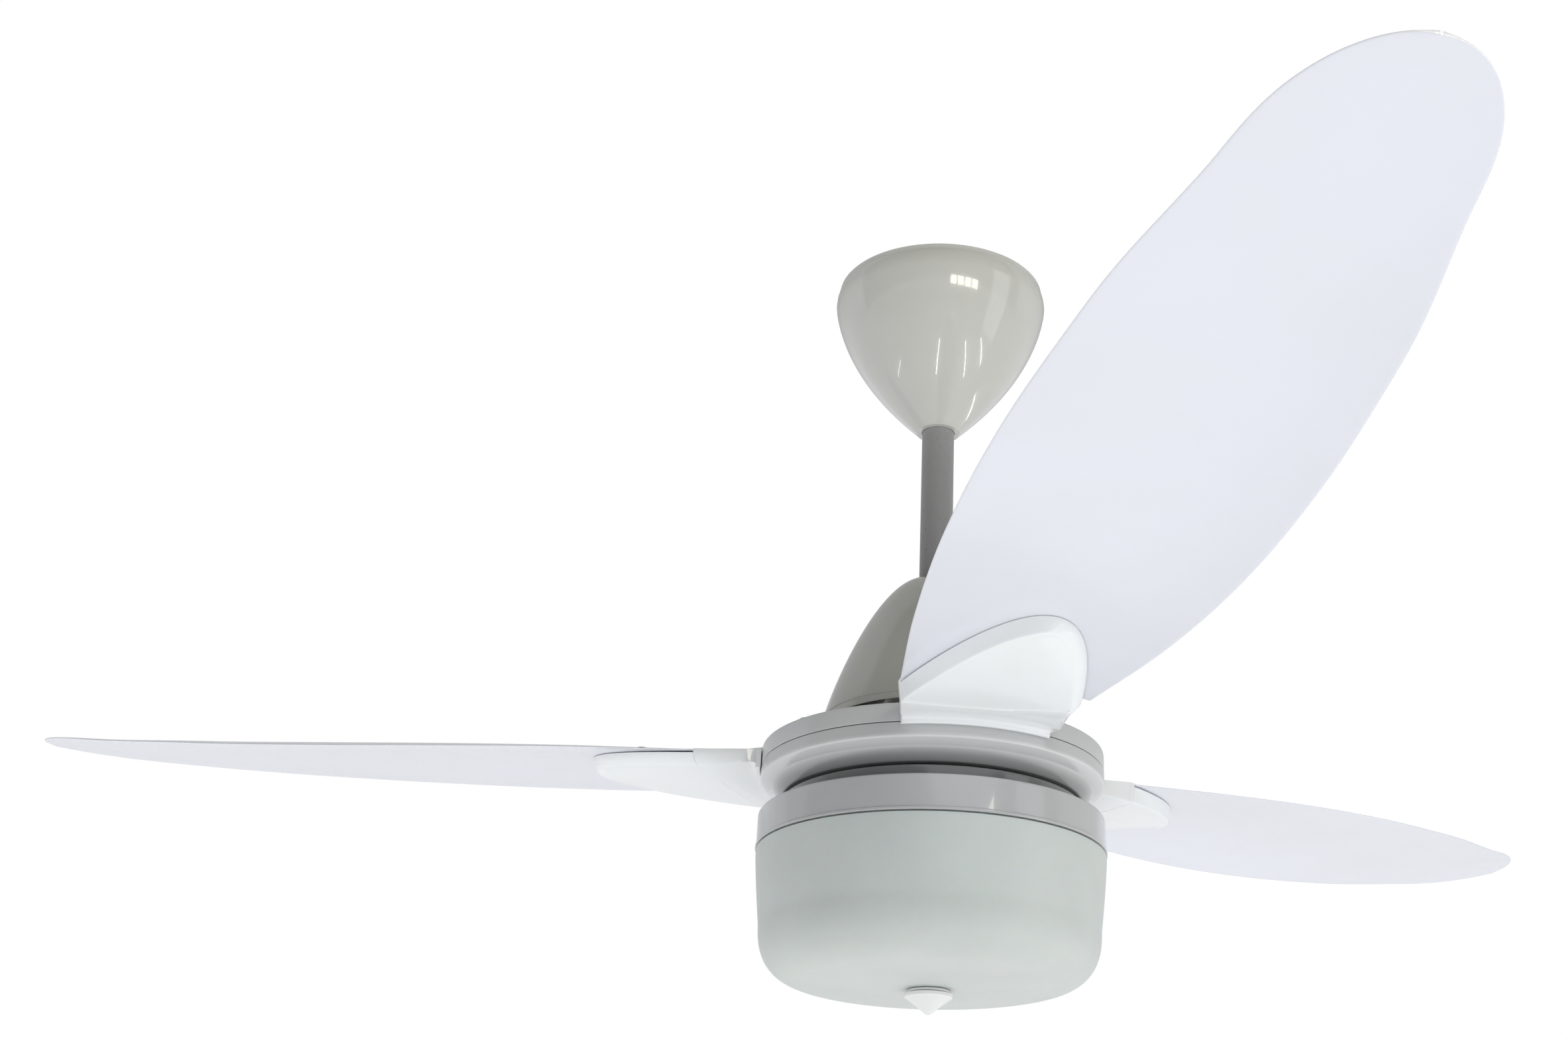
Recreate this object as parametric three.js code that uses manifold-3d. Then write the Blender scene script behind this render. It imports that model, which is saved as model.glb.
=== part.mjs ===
// A three-blade ceiling fan with a glass light below its motor.
// Millimetres, +Z up. The origin is the middle of the hanger bracket's ceiling face,
// so the whole fan hangs below z = 0. Most heights are measured from the top edge of
// the rotor's round band (BAND_TOP) and go through level().
import * as THREE from 'three';
import { mergeVertices } from 'three/addons/utils/BufferGeometryUtils.js';
import Module from 'manifold-3d';

const wasm = await Module();
wasm.setup();

// ---- driving dimensions -------------------------------------------------------------
const BAND_TOP = -299;          // rotor band's top edge below the ceiling
const GAP = 0.3;                // clearance between touching pieces
const ROUND = 32;               // facets round the large turned pieces
const FINE = 16;                // facets round middle-sized pieces
const SMALL = 8;                // facets round screws and pins

const ROD = { outer: 9.525, bore: 8, top: 284, bottom: 45 };
const SHAFT = { radius: 7.5, bore: 4, top: 82, bottom: -42 };
const PIVOT = -30;              // hanger bolt below the ceiling
const COUPLING = 60;            // coupling bolt's level

const HANGER = { length: 100, width: 36, plate: 3, ear: 2.5, earInside: 16, earHalf: 13, drop: 43 };
// Each canopy is a bell: share 0 is its neck, share 1 its rim. The collar is the neck's straight end.
const UPPER_CANOPY = {
  neck: 13.4,
  rim: 64.8,
  turnIn: 4,
  neckLevel: 202,
  rimLevel: 295.8,
  power: 1.9,
  root: 1,
  collar: 0.6,
  screwLevel: 204.2,
};
const LOWER_CANOPY = {
  neck: 13.8,
  rim: 63,
  turnIn: 0,
  neckLevel: 103.4,
  rimLevel: 14.5,
  power: 1.15,
  root: 0.64,
  collar: 0.6,
  screwLevel: 101.8,
};
const CANOPY_WALL = 2;

const BAND = { radius: 95, seam: -10.2, foot: -17.5, lip: 94.3, base: 83.3, floor: -28 };
const SHEET = 2;                // rotor shells' wall
const DECK = { inner: 76, dome: 60, domeLevel: 8, hub: 20, hubLevel: 12.5 };
const BEARING = { bore: 7.8, outer: 17.2, width: 9, upperLevel: 0.6, lowerLevel: -25.7 };

const PAN = { top: -29.5, neck: 83.3, shoulder: -37.7, radius: 95.6, rim: -56.8, wall: 1.5 };
const GLASS = { radius: 95.7, waist: 92.3, waistLevel: -98, foot: -127.1, corner: 26, power: 2.43 };
const GLASS_WALL = 3.2;
const GLASS_NECK = { outer: 92.8, top: -41.8 };
const STUD = { radius: 3.6, top: -20, bottom: -138 };
const LAMP = { offset: 30, level: -88, base: 68, holder: 35, globe: 22.3, tip: 22 };

const BLADE = {
  start: 121.9,
  end: 591.1,
  azimuths: [159.645, 279.645, 39.645],
  half: 1,
  edge: 0.4,
  camber: 0.0023,
};
const KNOTS = [0, 0.15, 0.32, 0.5, 0.68, 0.84, 0.94];
const MIDLINE = [10.9, 17.7, 23.7, 29.3, 35.3, 41, 44.7];
const HALF_WIDTH = [48.7, 60.2, 66.3, 65.3, 57.9, 48.7, 53.1];
const TIP = { begins: 0.714, power: 2.2 };
const ARM = {
  root: 88,
  shoulder: 119,
  reach: 83.4,
  power: 1.11,
  middle: 8.5,
  lean: 11.9,
  half: 46.7,
  end: 121.2,
};
const PAD = { depth: 9.6, softDepth: 6.4, crown: 0.8, floor: -9.8 };
const SKIRT = { thick: 2.8, foot: -12.3, head: -5, from: -32.5, to: 47.5 };
const TONGUE = { inner: 77, from: -18, to: 34, thick: 3 };
const BLADE_SCREWS = [[165, -12], [165, 34]];
const DECK_SCREW = { circle: 86, angles: [-6.6, 17.4] };
const SHELL_SCREW = { circle: 88.5, boss: 3.4 };

// ---- materials ----------------------------------------------------------------------
const finish = (color, roughness, metalness = 0) =>
  new THREE.MeshStandardMaterial({ color, roughness, metalness });
const MATERIALS = {
  enamel: finish(0xb4b6b4, 0.25),
  canopy: finish(0xc4c3bb, 0.15),
  rod: finish(0x8f8f90, 0.35),
  blade: finish(0xe6e6f2, 0.18),
  arm: finish(0xe9eef0, 0.12),
  glass: finish(0xd2dcd6, 0.5),
  cap: finish(0xf2f4f4, 0.3),
  zinc: finish(0xb9bcc0, 0.35, 0.9),
  dark: finish(0x26272a, 0.45, 0.6),
  laminations: finish(0x5a5c60, 0.5, 0.8),
  copper: finish(0xa4532b, 0.35, 0.8),
  aluminium: finish(0xc7c9cc, 0.4, 0.9),
  rubber: finish(0x1d1d1f, 0.8),
  holder: finish(0xf4f3ee, 0.3),
  lamp: finish(0xf6f4ec, 0.4),
};

// ---- solids -------------------------------------------------------------------------
const level = (z) => BAND_TOP + z;
const radians = THREE.MathUtils.degToRad;

function signedVolume(positions, triangles) {
  const corner = [new THREE.Vector3(), new THREE.Vector3(), new THREE.Vector3()];
  let volume = 0;
  for (let i = 0; i < triangles.length; i += 3) {
    corner.forEach((point, k) => point.fromArray(positions, 3 * triangles[i + k]));
    volume += corner[0].dot(corner[1].cross(corner[2])) / 6;
  }
  return volume;
}

// A geometry as a manifold solid: shared corners merged, slivers dropped, faces out.
function solid(geometry) {
  const plain = geometry.clone();
  plain.deleteAttribute('normal');
  plain.deleteAttribute('uv');
  const merged = mergeVertices(plain, 1e-4);
  const source = merged.index.array;
  const triangles = [];
  for (let i = 0; i < source.length; i += 3) {
    const [a, b, c] = source.slice(i, i + 3);
    if (a !== b && b !== c && c !== a) triangles.push(a, b, c);
  }
  const positions = merged.attributes.position.array;
  if (signedVolume(positions, triangles) < 0) triangles.reverse();
  return new wasm.Manifold(new wasm.Mesh({
    numProp: 3,
    vertProperties: new Float32Array(positions),
    triVerts: new Uint32Array(triangles),
  }));
}

function toGeometry(shape) {
  const mesh = shape.getMesh();
  const geometry = new THREE.BufferGeometry();
  geometry.setAttribute('position', new THREE.BufferAttribute(mesh.vertProperties, 3));
  geometry.setIndex(new THREE.BufferAttribute(mesh.triVerts, 1));
  geometry.computeVertexNormals();
  return geometry;
}

const join = (first, ...others) => others.reduce((sum, shape) => sum.add(shape), first);
const cut = (first, ...others) => others.reduce((rest, shape) => rest.subtract(shape), first);

// A turned piece: profile is a list of [radius, z] that closes on itself or ends on the axis.
function turned(profile, facets = ROUND) {
  const points = profile.map(([r, z]) => new THREE.Vector2(r, z));
  return solid(new THREE.LatheGeometry(points, facets).rotateX(Math.PI / 2));
}

function tube(inner, outer, bottom, top, facets = ROUND) {
  const ring = [[inner, bottom], [outer, bottom], [outer, top], [inner, top], [inner, bottom]];
  return turned(ring, facets);
}

// A cylinder along Z from bottom to top, centred on x, y.
function post(radius, bottom, top, facets = SMALL, x = 0, y = 0) {
  const shape = new THREE.CylinderGeometry(radius, radius, top - bottom, facets);
  return solid(shape.rotateX(Math.PI / 2).translate(x, y, (top + bottom) / 2));
}

// A cylinder along X from start to end, centred on y, z.
function bar(radius, start, end, y, z, facets = SMALL) {
  const shape = new THREE.CylinderGeometry(radius, radius, end - start, facets);
  return solid(shape.rotateZ(Math.PI / 2).translate((start + end) / 2, y, z));
}

function block(low, high) {
  const size = high.map((value, i) => value - low[i]);
  const middle = high.map((value, i) => (value + low[i]) / 2);
  return solid(new THREE.BoxGeometry(...size).translate(...middle));
}

// A flat outline of [x, y] corners pulled up from bottom to top.
function plate(outline, bottom, top) {
  const shape = new THREE.Shape(outline.map(([x, y]) => new THREE.Vector2(x, y)));
  const options = { depth: top - bottom, bevelEnabled: false };
  return solid(new THREE.ExtrudeGeometry(shape, options).translate(0, 0, bottom));
}

// Joins equal loops of points into one closed skin with a cap at each end.
function loft(loops) {
  const count = loops[0].length;
  const positions = loops.flat().flat();
  const triangles = [];
  for (let i = 0; i + 1 < loops.length; i++) {
    for (let j = 0; j < count; j++) {
      const a = i * count + j;
      const b = i * count + (j + 1) % count;
      triangles.push(a, b, b + count, a, b + count, a + count);
    }
  }
  for (const [row, turn] of [[0, true], [loops.length - 1, false]]) {
    const half = count / 2;
    for (let j = 0; j + 1 < half; j++) {
      const [a, b] = [row * count + j, row * count + j + 1];
      const [c, d] = [row * count + count - 2 - j, row * count + count - 1 - j];
      triangles.push(...(turn ? [a, c, b, a, d, c] : [a, b, c, a, c, d]));
    }
  }
  const geometry = new THREE.BufferGeometry();
  geometry.setAttribute('position', new THREE.Float32BufferAttribute(positions, 3));
  geometry.setIndex(triangles);
  return solid(geometry);
}

const moved = (shape, matrix) => solid(toGeometry(shape).applyMatrix4(matrix));

const fan = new THREE.Group();

function add(name, shape, material, parent = fan) {
  const mesh = new THREE.Mesh(toGeometry(shape), MATERIALS[material]);
  mesh.name = name;
  parent.add(mesh);
  return mesh;
}

// ---- ceiling hanger -----------------------------------------------------------------
function hangerBracket() {
  const { length, width, plate: thick, ear, earInside, earHalf, drop } = HANGER;
  const top = block([-length / 2, -width / 2, -thick], [length / 2, width / 2, 0]);
  const ears = [-1, 1].map((side) => {
    const near = side > 0 ? earInside : -earInside - ear;
    const web = block([near, -earHalf, PIVOT], [near + ear, earHalf, -thick / 2]);
    return web.add(bar(drop + PIVOT, near, near + ear, 0, PIVOT, FINE));
  });
  const holes = [-1, 1].map((side) => post(3, -thick - 1, 1, SMALL, side * 38, 0));
  const pivot = bar(4.3, -length / 2, length / 2, 0, PIVOT, FINE);
  add('hanger_bracket', cut(join(top, ...ears), ...holes, pivot), 'zinc');
}

function hangerBolt() {
  const outside = HANGER.earInside + HANGER.ear + GAP;
  const head = bar(7, -outside - 5, -outside, 0, PIVOT, 6);
  const shank = bar(4, -outside - 2.5, 33, 0, PIVOT, FINE);
  const pinHole = post(1.6, PIVOT - 6, PIVOT + 6, SMALL, 29, 0);
  add('hanger_bolt', cut(join(head, shank), pinHole), 'zinc');
  const nut = bar(7, outside, outside + 6, 0, PIVOT, 6);
  add('hanger_nut', cut(nut, bar(4.3, outside - 1, outside + 7, 0, PIVOT, FINE)), 'zinc');
}

// The split pin is one wire: two legs through the bolt and an eye above it.
function splitPin() {
  const route = [[-0.7, -9], [-0.7, -3], [-0.7, 4.5], [-2.2, 6.5], [-1.6, 9], [0, 9.8],
    [1.6, 9], [2.2, 6.5], [0.7, 4.5], [0.7, -3], [2.6, -8]];
  const curve = new THREE.CatmullRomCurve3(
    route.map(([y, z]) => new THREE.Vector3(29, y, PIVOT + z)), false, 'centripetal');
  const corners = Array.from({ length: 6 }, (_, i) => i * Math.PI / 3);
  const wire = new THREE.Shape(corners.map((a) => new THREE.Vector2(0.55 * Math.cos(a), 0.55 * Math.sin(a))));
  const options = { steps: 18, extrudePath: curve, bevelEnabled: false };
  add('split_pin', solid(new THREE.ExtrudeGeometry(wire, options)), 'zinc');
}

function terminalBlock() {
  const near = HANGER.earInside + HANGER.ear + GAP;
  const body = block([-near - 11, -11, -22], [-near, 11, -5]);
  const wells = [-7, 0, 7].map((y) => bar(2.2, -near - 12, -near - 4, y, -17.5));
  const screws = [-7, 0, 7].map((y) => bar(1.6, -near - 12, -near - 7, y, -9.5));
  add('terminal_block', cut(body, ...wells, ...screws), 'holder');
}

// ---- rod and shaft ------------------------------------------------------------------
function downrod() {
  const pipe = tube(ROD.bore, ROD.outer, level(ROD.bottom), level(ROD.top), FINE);
  const bushHole = bar(6.4, -12, 12, 0, PIVOT, FINE);
  const boltHole = bar(3.3, -12, 12, 0, level(COUPLING));
  add('downrod', cut(pipe, bushHole, boltHole), 'rod');
  const half = HANGER.earInside - GAP;
  const sleeve = cut(bar(6.1, -half, half, 0, PIVOT, FINE), bar(4.3, -20, 20, 0, PIVOT, FINE));
  add('swing_bush', sleeve, 'rubber');
}

function motorShaft() {
  const pipe = tube(SHAFT.bore, SHAFT.radius, level(SHAFT.bottom), level(SHAFT.top), FINE);
  add('motor_shaft', cut(pipe, bar(3.3, -12, 12, 0, level(COUPLING))), 'zinc');
}

function couplingBolt() {
  const z = level(COUPLING);
  const face = ROD.outer + GAP;
  const shank = bar(3, -face - 2, 19, 0, z);
  add('coupling_bolt', join(bar(5.6, -face - 4, -face, 0, z, 6), shank), 'zinc');
  const nut = bar(5.6, face, face + 5, 0, z, 6);
  add('coupling_nut', cut(nut, bar(3.3, face - 1, face + 6, 0, z)), 'zinc');
}

// ---- canopies -----------------------------------------------------------------------
function canopyRadius(form, share) {
  const bell = (form.rim - form.neck) * (1 - (1 - share) ** form.power) ** form.root;
  const turnedIn = form.turnIn * Math.max(0, (share - 0.86) / 0.14) ** 2;
  return form.neck + bell - turnedIn;
}

// The bell's outer and inner walls; the neck end stays solid down to the rod.
function canopy(form) {
  const rise = form.rimLevel - form.neckLevel;
  const bore = ROD.outer + GAP;
  const at = (share, inset) => [canopyRadius(form, share) - inset, level(form.neckLevel + rise * share)];
  const outer = [0, 0.08, 0.2, 0.38, 0.58, 0.8, 0.9, 0.96, 1].map((share) => at(share, 0));
  const inner = [1, 0.96, 0.9, 0.8, 0.58, 0.38, 0.2].map((share) => at(share, CANOPY_WALL));
  const mouth = level(form.neckLevel - Math.sign(rise) * form.collar);
  const inside = level(form.neckLevel + rise * 0.06);
  return turned([[bore, mouth], [form.neck, mouth], ...outer, ...inner, [bore, inside], [bore, mouth]]);
}

function canopyWithScrew(name, form) {
  const rise = form.rimLevel - form.neckLevel;
  const outside = canopyRadius(form, Math.max(0, (form.screwLevel - form.neckLevel) / rise));
  const radial = new THREE.Matrix4().makeRotationX(-Math.PI / 2).setPosition(0, 0, level(form.screwLevel));
  const hole = moved(post(1.7, ROD.outer - 1, outside + 2), radial);
  add(name, cut(canopy(form), hole), 'canopy');
  const grub = moved(post(1.4, ROD.outer + GAP, outside - 0.4), radial);
  add(`${name}_grub_screw`, grub, 'zinc');
}

// ---- motor inside -------------------------------------------------------------------
// The stator's iron is one disc with a tooth between each pair of slots.
function statorCore() {
  const slots = 18;
  const corners = [[68, -0.3], [68, 0.3], [50, 0.36], [50, 0.64]];
  const outline = Array.from({ length: slots }, (_, i) => corners.map(([r, part]) => {
    const angle = (i + part) * 2 * Math.PI / slots;
    return [r * Math.cos(angle), r * Math.sin(angle)];
  })).flat();
  const disc = plate(outline, level(-15), level(-3));
  add('stator_core', cut(disc, post(SHAFT.radius + GAP, level(-16), level(-2), FINE)), 'laminations');
}

function windings() {
  const ring = (low, high) => {
    const bulge = (high - low) * 0.3;
    return turned([[37, low], [62, low], [62, high - bulge], [57, high], [42, high],
      [37, high - bulge], [37, low]], FINE);
  };
  add('winding_upper', ring(level(-3 + GAP), level(3.4)), 'copper');
  const flip = new THREE.Matrix4().makeRotationX(Math.PI).setPosition(0, 0, 2 * level(-9));
  add('winding_lower', moved(ring(level(-3 + GAP), level(3.4)), flip), 'copper');
}

function bearing(name, low) {
  add(name, tube(BEARING.bore, BEARING.outer, level(low), level(low + BEARING.width), FINE), 'zinc');
}

function polar(radius, degrees) {
  return [radius * Math.cos(radians(degrees)), radius * Math.sin(radians(degrees))];
}

const deckScrewSpots = BLADE.azimuths.flatMap((azimuth) =>
  DECK_SCREW.angles.map((angle) => polar(DECK_SCREW.circle, azimuth + angle)));
const shellScrewSpots = BLADE.azimuths.map((azimuth) => polar(SHELL_SCREW.circle, azimuth + 60));

// Upper shell: the band's upper half, a flat deck for the arms, a low dome and a bearing hub.
function upperShell() {
  const { radius, seam } = BAND;
  const inner = radius - SHEET;
  const seat = BEARING.outer + GAP;
  const roof = BEARING.upperLevel + BEARING.width + GAP;
  const outside = [[inner, seam], [radius, seam], [radius, -1], [radius - 1, 0], [DECK.inner, 0],
    [68, 3.4], [DECK.dome, DECK.domeLevel - 0.6], [52, DECK.domeLevel + 1.2], [34, 11.2],
    [DECK.hub, DECK.hubLevel], [SHAFT.radius + 1.3, DECK.hubLevel]];
  const inside = [[SHAFT.radius + 1.3, roof], [seat, roof], [seat, -1], [DECK.hub, -1], [DECK.hub, 9],
    [34, 9], [52, 7], [DECK.dome, 5.2], [68, 1.2], [DECK.inner, -SHEET], [inner, -SHEET], [inner, seam]];
  const shell = turned([...outside, ...inside].map(([r, z]) => [r, level(z)]));
  const holes = deckScrewSpots.map(([x, y]) => post(2.2, level(-4), level(2), SMALL, x, y));
  const screwHoles = shellScrewSpots.map(([x, y]) => post(2, level(-4), level(2), SMALL, x, y));
  add('upper_shell', cut(shell, ...holes, ...screwHoles), 'enamel');
}

// Lower shell: the band's lower half, the sloping lip, a flat floor and a bearing hub.
function lowerShell() {
  const { radius, seam, foot, lip, base, floor } = BAND;
  const inner = radius - SHEET;
  const seat = BEARING.outer + GAP;
  const ledge = BEARING.lowerLevel - GAP;
  const outside = [[inner, seam - GAP], [radius, seam - GAP], [radius, foot], [lip, foot - 1],
    [89.3, -21.1], [base, floor], [SHAFT.radius + 1.3, floor]];
  const inside = [[SHAFT.radius + 1.3, ledge], [seat, ledge], [seat, -16.5], [DECK.hub, -16.5],
    [DECK.hub, floor + SHEET], [base - 1, floor + SHEET], [88, -19.2], [inner, foot + 0.6],
    [inner, seam - GAP]];
  const shell = turned([...outside, ...inside].map(([r, z]) => [r, level(z)]));
  const bosses = shellScrewSpots.map(
    ([x, y]) => post(SHELL_SCREW.boss, level(-19.8), level(-10.8), SMALL, x, y),
  );
  const holes = shellScrewSpots.map(([x, y]) => post(2, level(-17.5), level(-10), SMALL, x, y));
  add('lower_shell', cut(join(shell, ...bosses), ...holes), 'enamel');
}

function shellScrews() {
  shellScrewSpots.forEach(([x, y], i) => {
    const head = post(3.5, level(GAP), level(2.6), SMALL, x, y);
    const shank = post(1.7, level(-17), level(1), SMALL, x, y);
    add(`shell_screw_${i + 1}`, join(head, shank), 'zinc');
  });
}

// ---- blades and their arms ----------------------------------------------------------
// A smooth curve through a table of values, straight past both ends.
function smooth(values, s) {
  const last = KNOTS.length - 1;
  const slope = (i) => {
    const [low, high] = [Math.max(i - 1, 0), Math.min(i + 1, last)];
    return (values[high] - values[low]) / (KNOTS[high] - KNOTS[low]);
  };
  if (s >= KNOTS[last]) return values[last] + slope(last) * (s - KNOTS[last]);
  const i = Math.max(0, KNOTS.findIndex((knot) => knot > s) - 1);
  const step = KNOTS[i + 1] - KNOTS[i];
  const t = (s - KNOTS[i]) / step;
  const [t2, t3] = [t * t, t * t * t];
  return (2 * t3 - 3 * t2 + 1) * values[i] + (t3 - 2 * t2 + t) * step * slope(i)
    + (3 * t2 - 2 * t3) * values[i + 1] + (t3 - t2) * step * slope(i + 1);
}

const bladeShare = (u) => (u - BLADE.start) / (BLADE.end - BLADE.start);

// Height of the blade's middle surface: it climbs to the tip, is pitched, and arches
// across its width, most of all on the side with the greater v.
function bladeHeight(u, v) {
  const s = bladeShare(u);
  const pitch = radians(2.775 + 16.672 * s - 10.853 * s * s);
  const [low, high] = bladeEdges(s);
  const arch = BLADE.camber * Math.max(0, (v - low) * (high - v));
  const share = (v - low) / (high - low);
  return -2.2 + 30.9 * s + 22.6 * s * s - Math.tan(pitch) * v + 0.000615 * v * v + arch * (0.5 + 0.8 * share);
}

function bladeEdges(s) {
  const x = Math.max(0, (s - TIP.begins) / (1 - TIP.begins));
  const half = smooth(HALF_WIDTH, s) * Math.sqrt(1 - x ** TIP.power);
  return [smooth(MIDLINE, s) - half, smooth(MIDLINE, s) + half];
}

// Points across a strip from low to high, once along the top and back along the bottom.
function section(u, low, high, top, bottom) {
  const across = [0, 0.1, 0.22, 0.36, 0.5, 0.64, 0.78, 0.9, 1];
  const row = (height, order) => order.map((part) => {
    const v = low + (high - low) * part;
    return [u, v, height(u, v, 2 * part - 1)];
  });
  return [...row(top, across), ...row(bottom, [...across].reverse())];
}

function bladeSolid() {
  const stations = 14;
  const half = (y) => BLADE.edge + (BLADE.half - BLADE.edge) * (1 - y * y);
  const loops = Array.from({ length: stations + 1 }, (_, i) => {
    const s = Math.min(1 - (1 - i / stations) ** 2, 0.997);
    const u = BLADE.start + s * (BLADE.end - BLADE.start);
    const [low, high] = bladeEdges(s);
    const top = (a, b, y) => bladeHeight(a, b) + half(y);
    const bottom = (a, b, y) => bladeHeight(a, b) - half(y);
    return section(u, low, high, top, bottom);
  });
  return loft(loops);
}

// The arm's middle line and half width: a rounded tongue that starts at the band.
function armEdges(u) {
  const x = Math.max(0, (u - ARM.shoulder) / ARM.reach) ** ARM.power;
  const inboard = Math.max(0, ARM.shoulder - u);
  const middle = ARM.middle + ARM.lean * x;
  const half = ARM.half * Math.sqrt(1 - x) - 0.15 * inboard;
  return [middle - half, middle + half];
}

// The pad lies under the blade. Its heel, inboard of the blade's end, comes up flush with it.
function armPad() {
  const under = (u, v) => bladeHeight(u, v) - BLADE.half - GAP;
  const flush = (u, v) => bladeHeight(u, v) + BLADE.half;
  const bottom = (u, v, y) => {
    const [low, high] = armEdges(u);
    const [first, last] = [under(u, low) - PAD.depth, under(u, high) - PAD.softDepth];
    const depth = first + (last - first) * (1 + y) / 2 - PAD.crown * (1 - y * y);
    return u < ARM.shoulder ? Math.max(depth, PAD.floor) : depth;
  };
  const strips = (stations, top) => loft(stations.map((u) => section(u, ...armEdges(u), top, bottom)));
  const pad = strips([ARM.shoulder, 136, 152, 166, 178, 188, 195, 199.5, 201.8], under);
  return pad.add(strips([ARM.root, 104, ARM.shoulder, ARM.end], flush));
}

function armSolid() {
  const ring = tube(BAND.radius, BAND.radius + GAP * 2 + SKIRT.thick, SKIRT.foot, SKIRT.head);
  const skirt = ring.intersect(block([0, SKIRT.from, -20], [120, SKIRT.to, 0]));
  const outside = cut(join(armPad(), skirt), post(BAND.radius + GAP * 2, -40, 20, 2 * ROUND));
  const tongue = plate([[60, TONGUE.from], [108, TONGUE.from], [108, TONGUE.to], [60, TONGUE.to]],
    GAP, TONGUE.thick + GAP);
  const seated = cut(tongue, post(TONGUE.inner, -5, 10, ROUND));
  const holes = DECK_SCREW.angles.map((angle) => post(2.2, -1, 6, SMALL, ...polar(DECK_SCREW.circle, angle)));
  return cut(outside.add(seated), ...holes);
}

// A frame whose Z is square to the blade's surface at u, v.
function surfaceFrame(u, v) {
  const step = 1;
  const along = new THREE.Vector3(step, 0, bladeHeight(u + step, v) - bladeHeight(u, v));
  const across = new THREE.Vector3(0, step, bladeHeight(u, v + step) - bladeHeight(u, v));
  const normal = along.cross(across).normalize();
  const turn = new THREE.Quaternion().setFromUnitVectors(new THREE.Vector3(0, 0, 1), normal);
  const spot = new THREE.Vector3(u, v, bladeHeight(u, v));
  return new THREE.Matrix4().compose(spot, turn, new THREE.Vector3(1, 1, 1));
}

const bladeHoles = BLADE_SCREWS.map(([u, v]) => moved(post(2.4, -7.5, 5), surfaceFrame(u, v)));
const bladeScrews = BLADE_SCREWS.map(([u, v]) =>
  moved(join(post(4.8, BLADE.half + GAP, 4.2), post(2, -7, 2.5)), surfaceFrame(u, v)));

function bladeSets() {
  const blade = cut(bladeSolid(), ...bladeHoles);
  const arm = cut(armSolid(), ...bladeHoles);
  const deckScrew = (angle) => {
    const spot = polar(DECK_SCREW.circle, angle);
    const seat = TONGUE.thick + 2 * GAP;
    return join(post(4.3, seat, seat + 2.5, SMALL, ...spot), post(1.9, -2.3, seat + 1, SMALL, ...spot));
  };
  BLADE.azimuths.forEach((azimuth, i) => {
    const set = new THREE.Group();
    set.position.z = BAND_TOP;
    set.rotation.z = radians(azimuth);
    fan.add(set);
    const letter = 'abc'[i];
    add(`blade_${letter}`, blade, 'blade', set);
    add(`blade_arm_${letter}`, arm, 'arm', set);
    bladeScrews.forEach((screw, k) => add(`blade_screw_${letter}${k + 1}`, screw, 'dark', set));
    DECK_SCREW.angles.forEach(
      (angle, k) => add(`arm_screw_${letter}${k + 1}`, deckScrew(angle), 'dark', set),
    );
  });
}

// ---- light --------------------------------------------------------------------------
function lightPan() {
  const { top, neck, shoulder, radius, rim, wall } = PAN;
  const bore = SHAFT.radius + GAP;
  const profile = [[bore, top], [neck - 1, top], [neck, top - 1], [neck, shoulder], [radius - 1.2, shoulder],
    [radius - 0.2, shoulder - 1], [radius, rim], [radius - wall, rim], [radius - wall - 0.2, shoulder - wall],
    [neck - wall, shoulder - wall], [neck - wall, top - wall], [bore, top - wall], [bore, top]];
  add('light_pan', turned(profile.map(([r, z]) => [r, level(z)])), 'enamel');
  const nutTop = top - wall - GAP;
  const nut = post(12.5, level(nutTop - 8.6), level(nutTop), 6);
  const thread = post(SHAFT.radius + GAP, level(nutTop - 10), level(nutTop + 1), FINE);
  add('pan_nut', cut(nut, thread), 'zinc');
}

// A bent strip that carries one lampholder at each end, on opposite sides of the stud.
function lampBracket() {
  const top = SHAFT.bottom - GAP;
  const thick = 2;
  const edge = LAMP.base + 2 + GAP;
  const foot = LAMP.level - 14;
  const parts = [
    block([-edge, -11, level(top - thick)], [edge, 11, level(top)]),
    block([-edge, -11, level(top - thick)], [-edge + 20, 42, level(top)]),
    block([edge - 20, -42, level(top - thick)], [edge, 11, level(top)]),
    block([-edge, 18, level(foot)], [-edge + 2, 42, level(top)]),
    block([edge - 2, -42, level(foot)], [edge, -18, level(top)]),
  ];
  const hole = post(STUD.radius + GAP, level(top - 5), level(top + 5), FINE);
  add('lamp_bracket', cut(join(...parts), hole), 'zinc');
  const nutTop = top - thick - GAP;
  const nut = post(7, level(nutTop - 5), level(nutTop), 6);
  add('bracket_nut', cut(nut, post(STUD.radius + GAP, level(nutTop - 6), level(nutTop + 1))), 'zinc');
}

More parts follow.
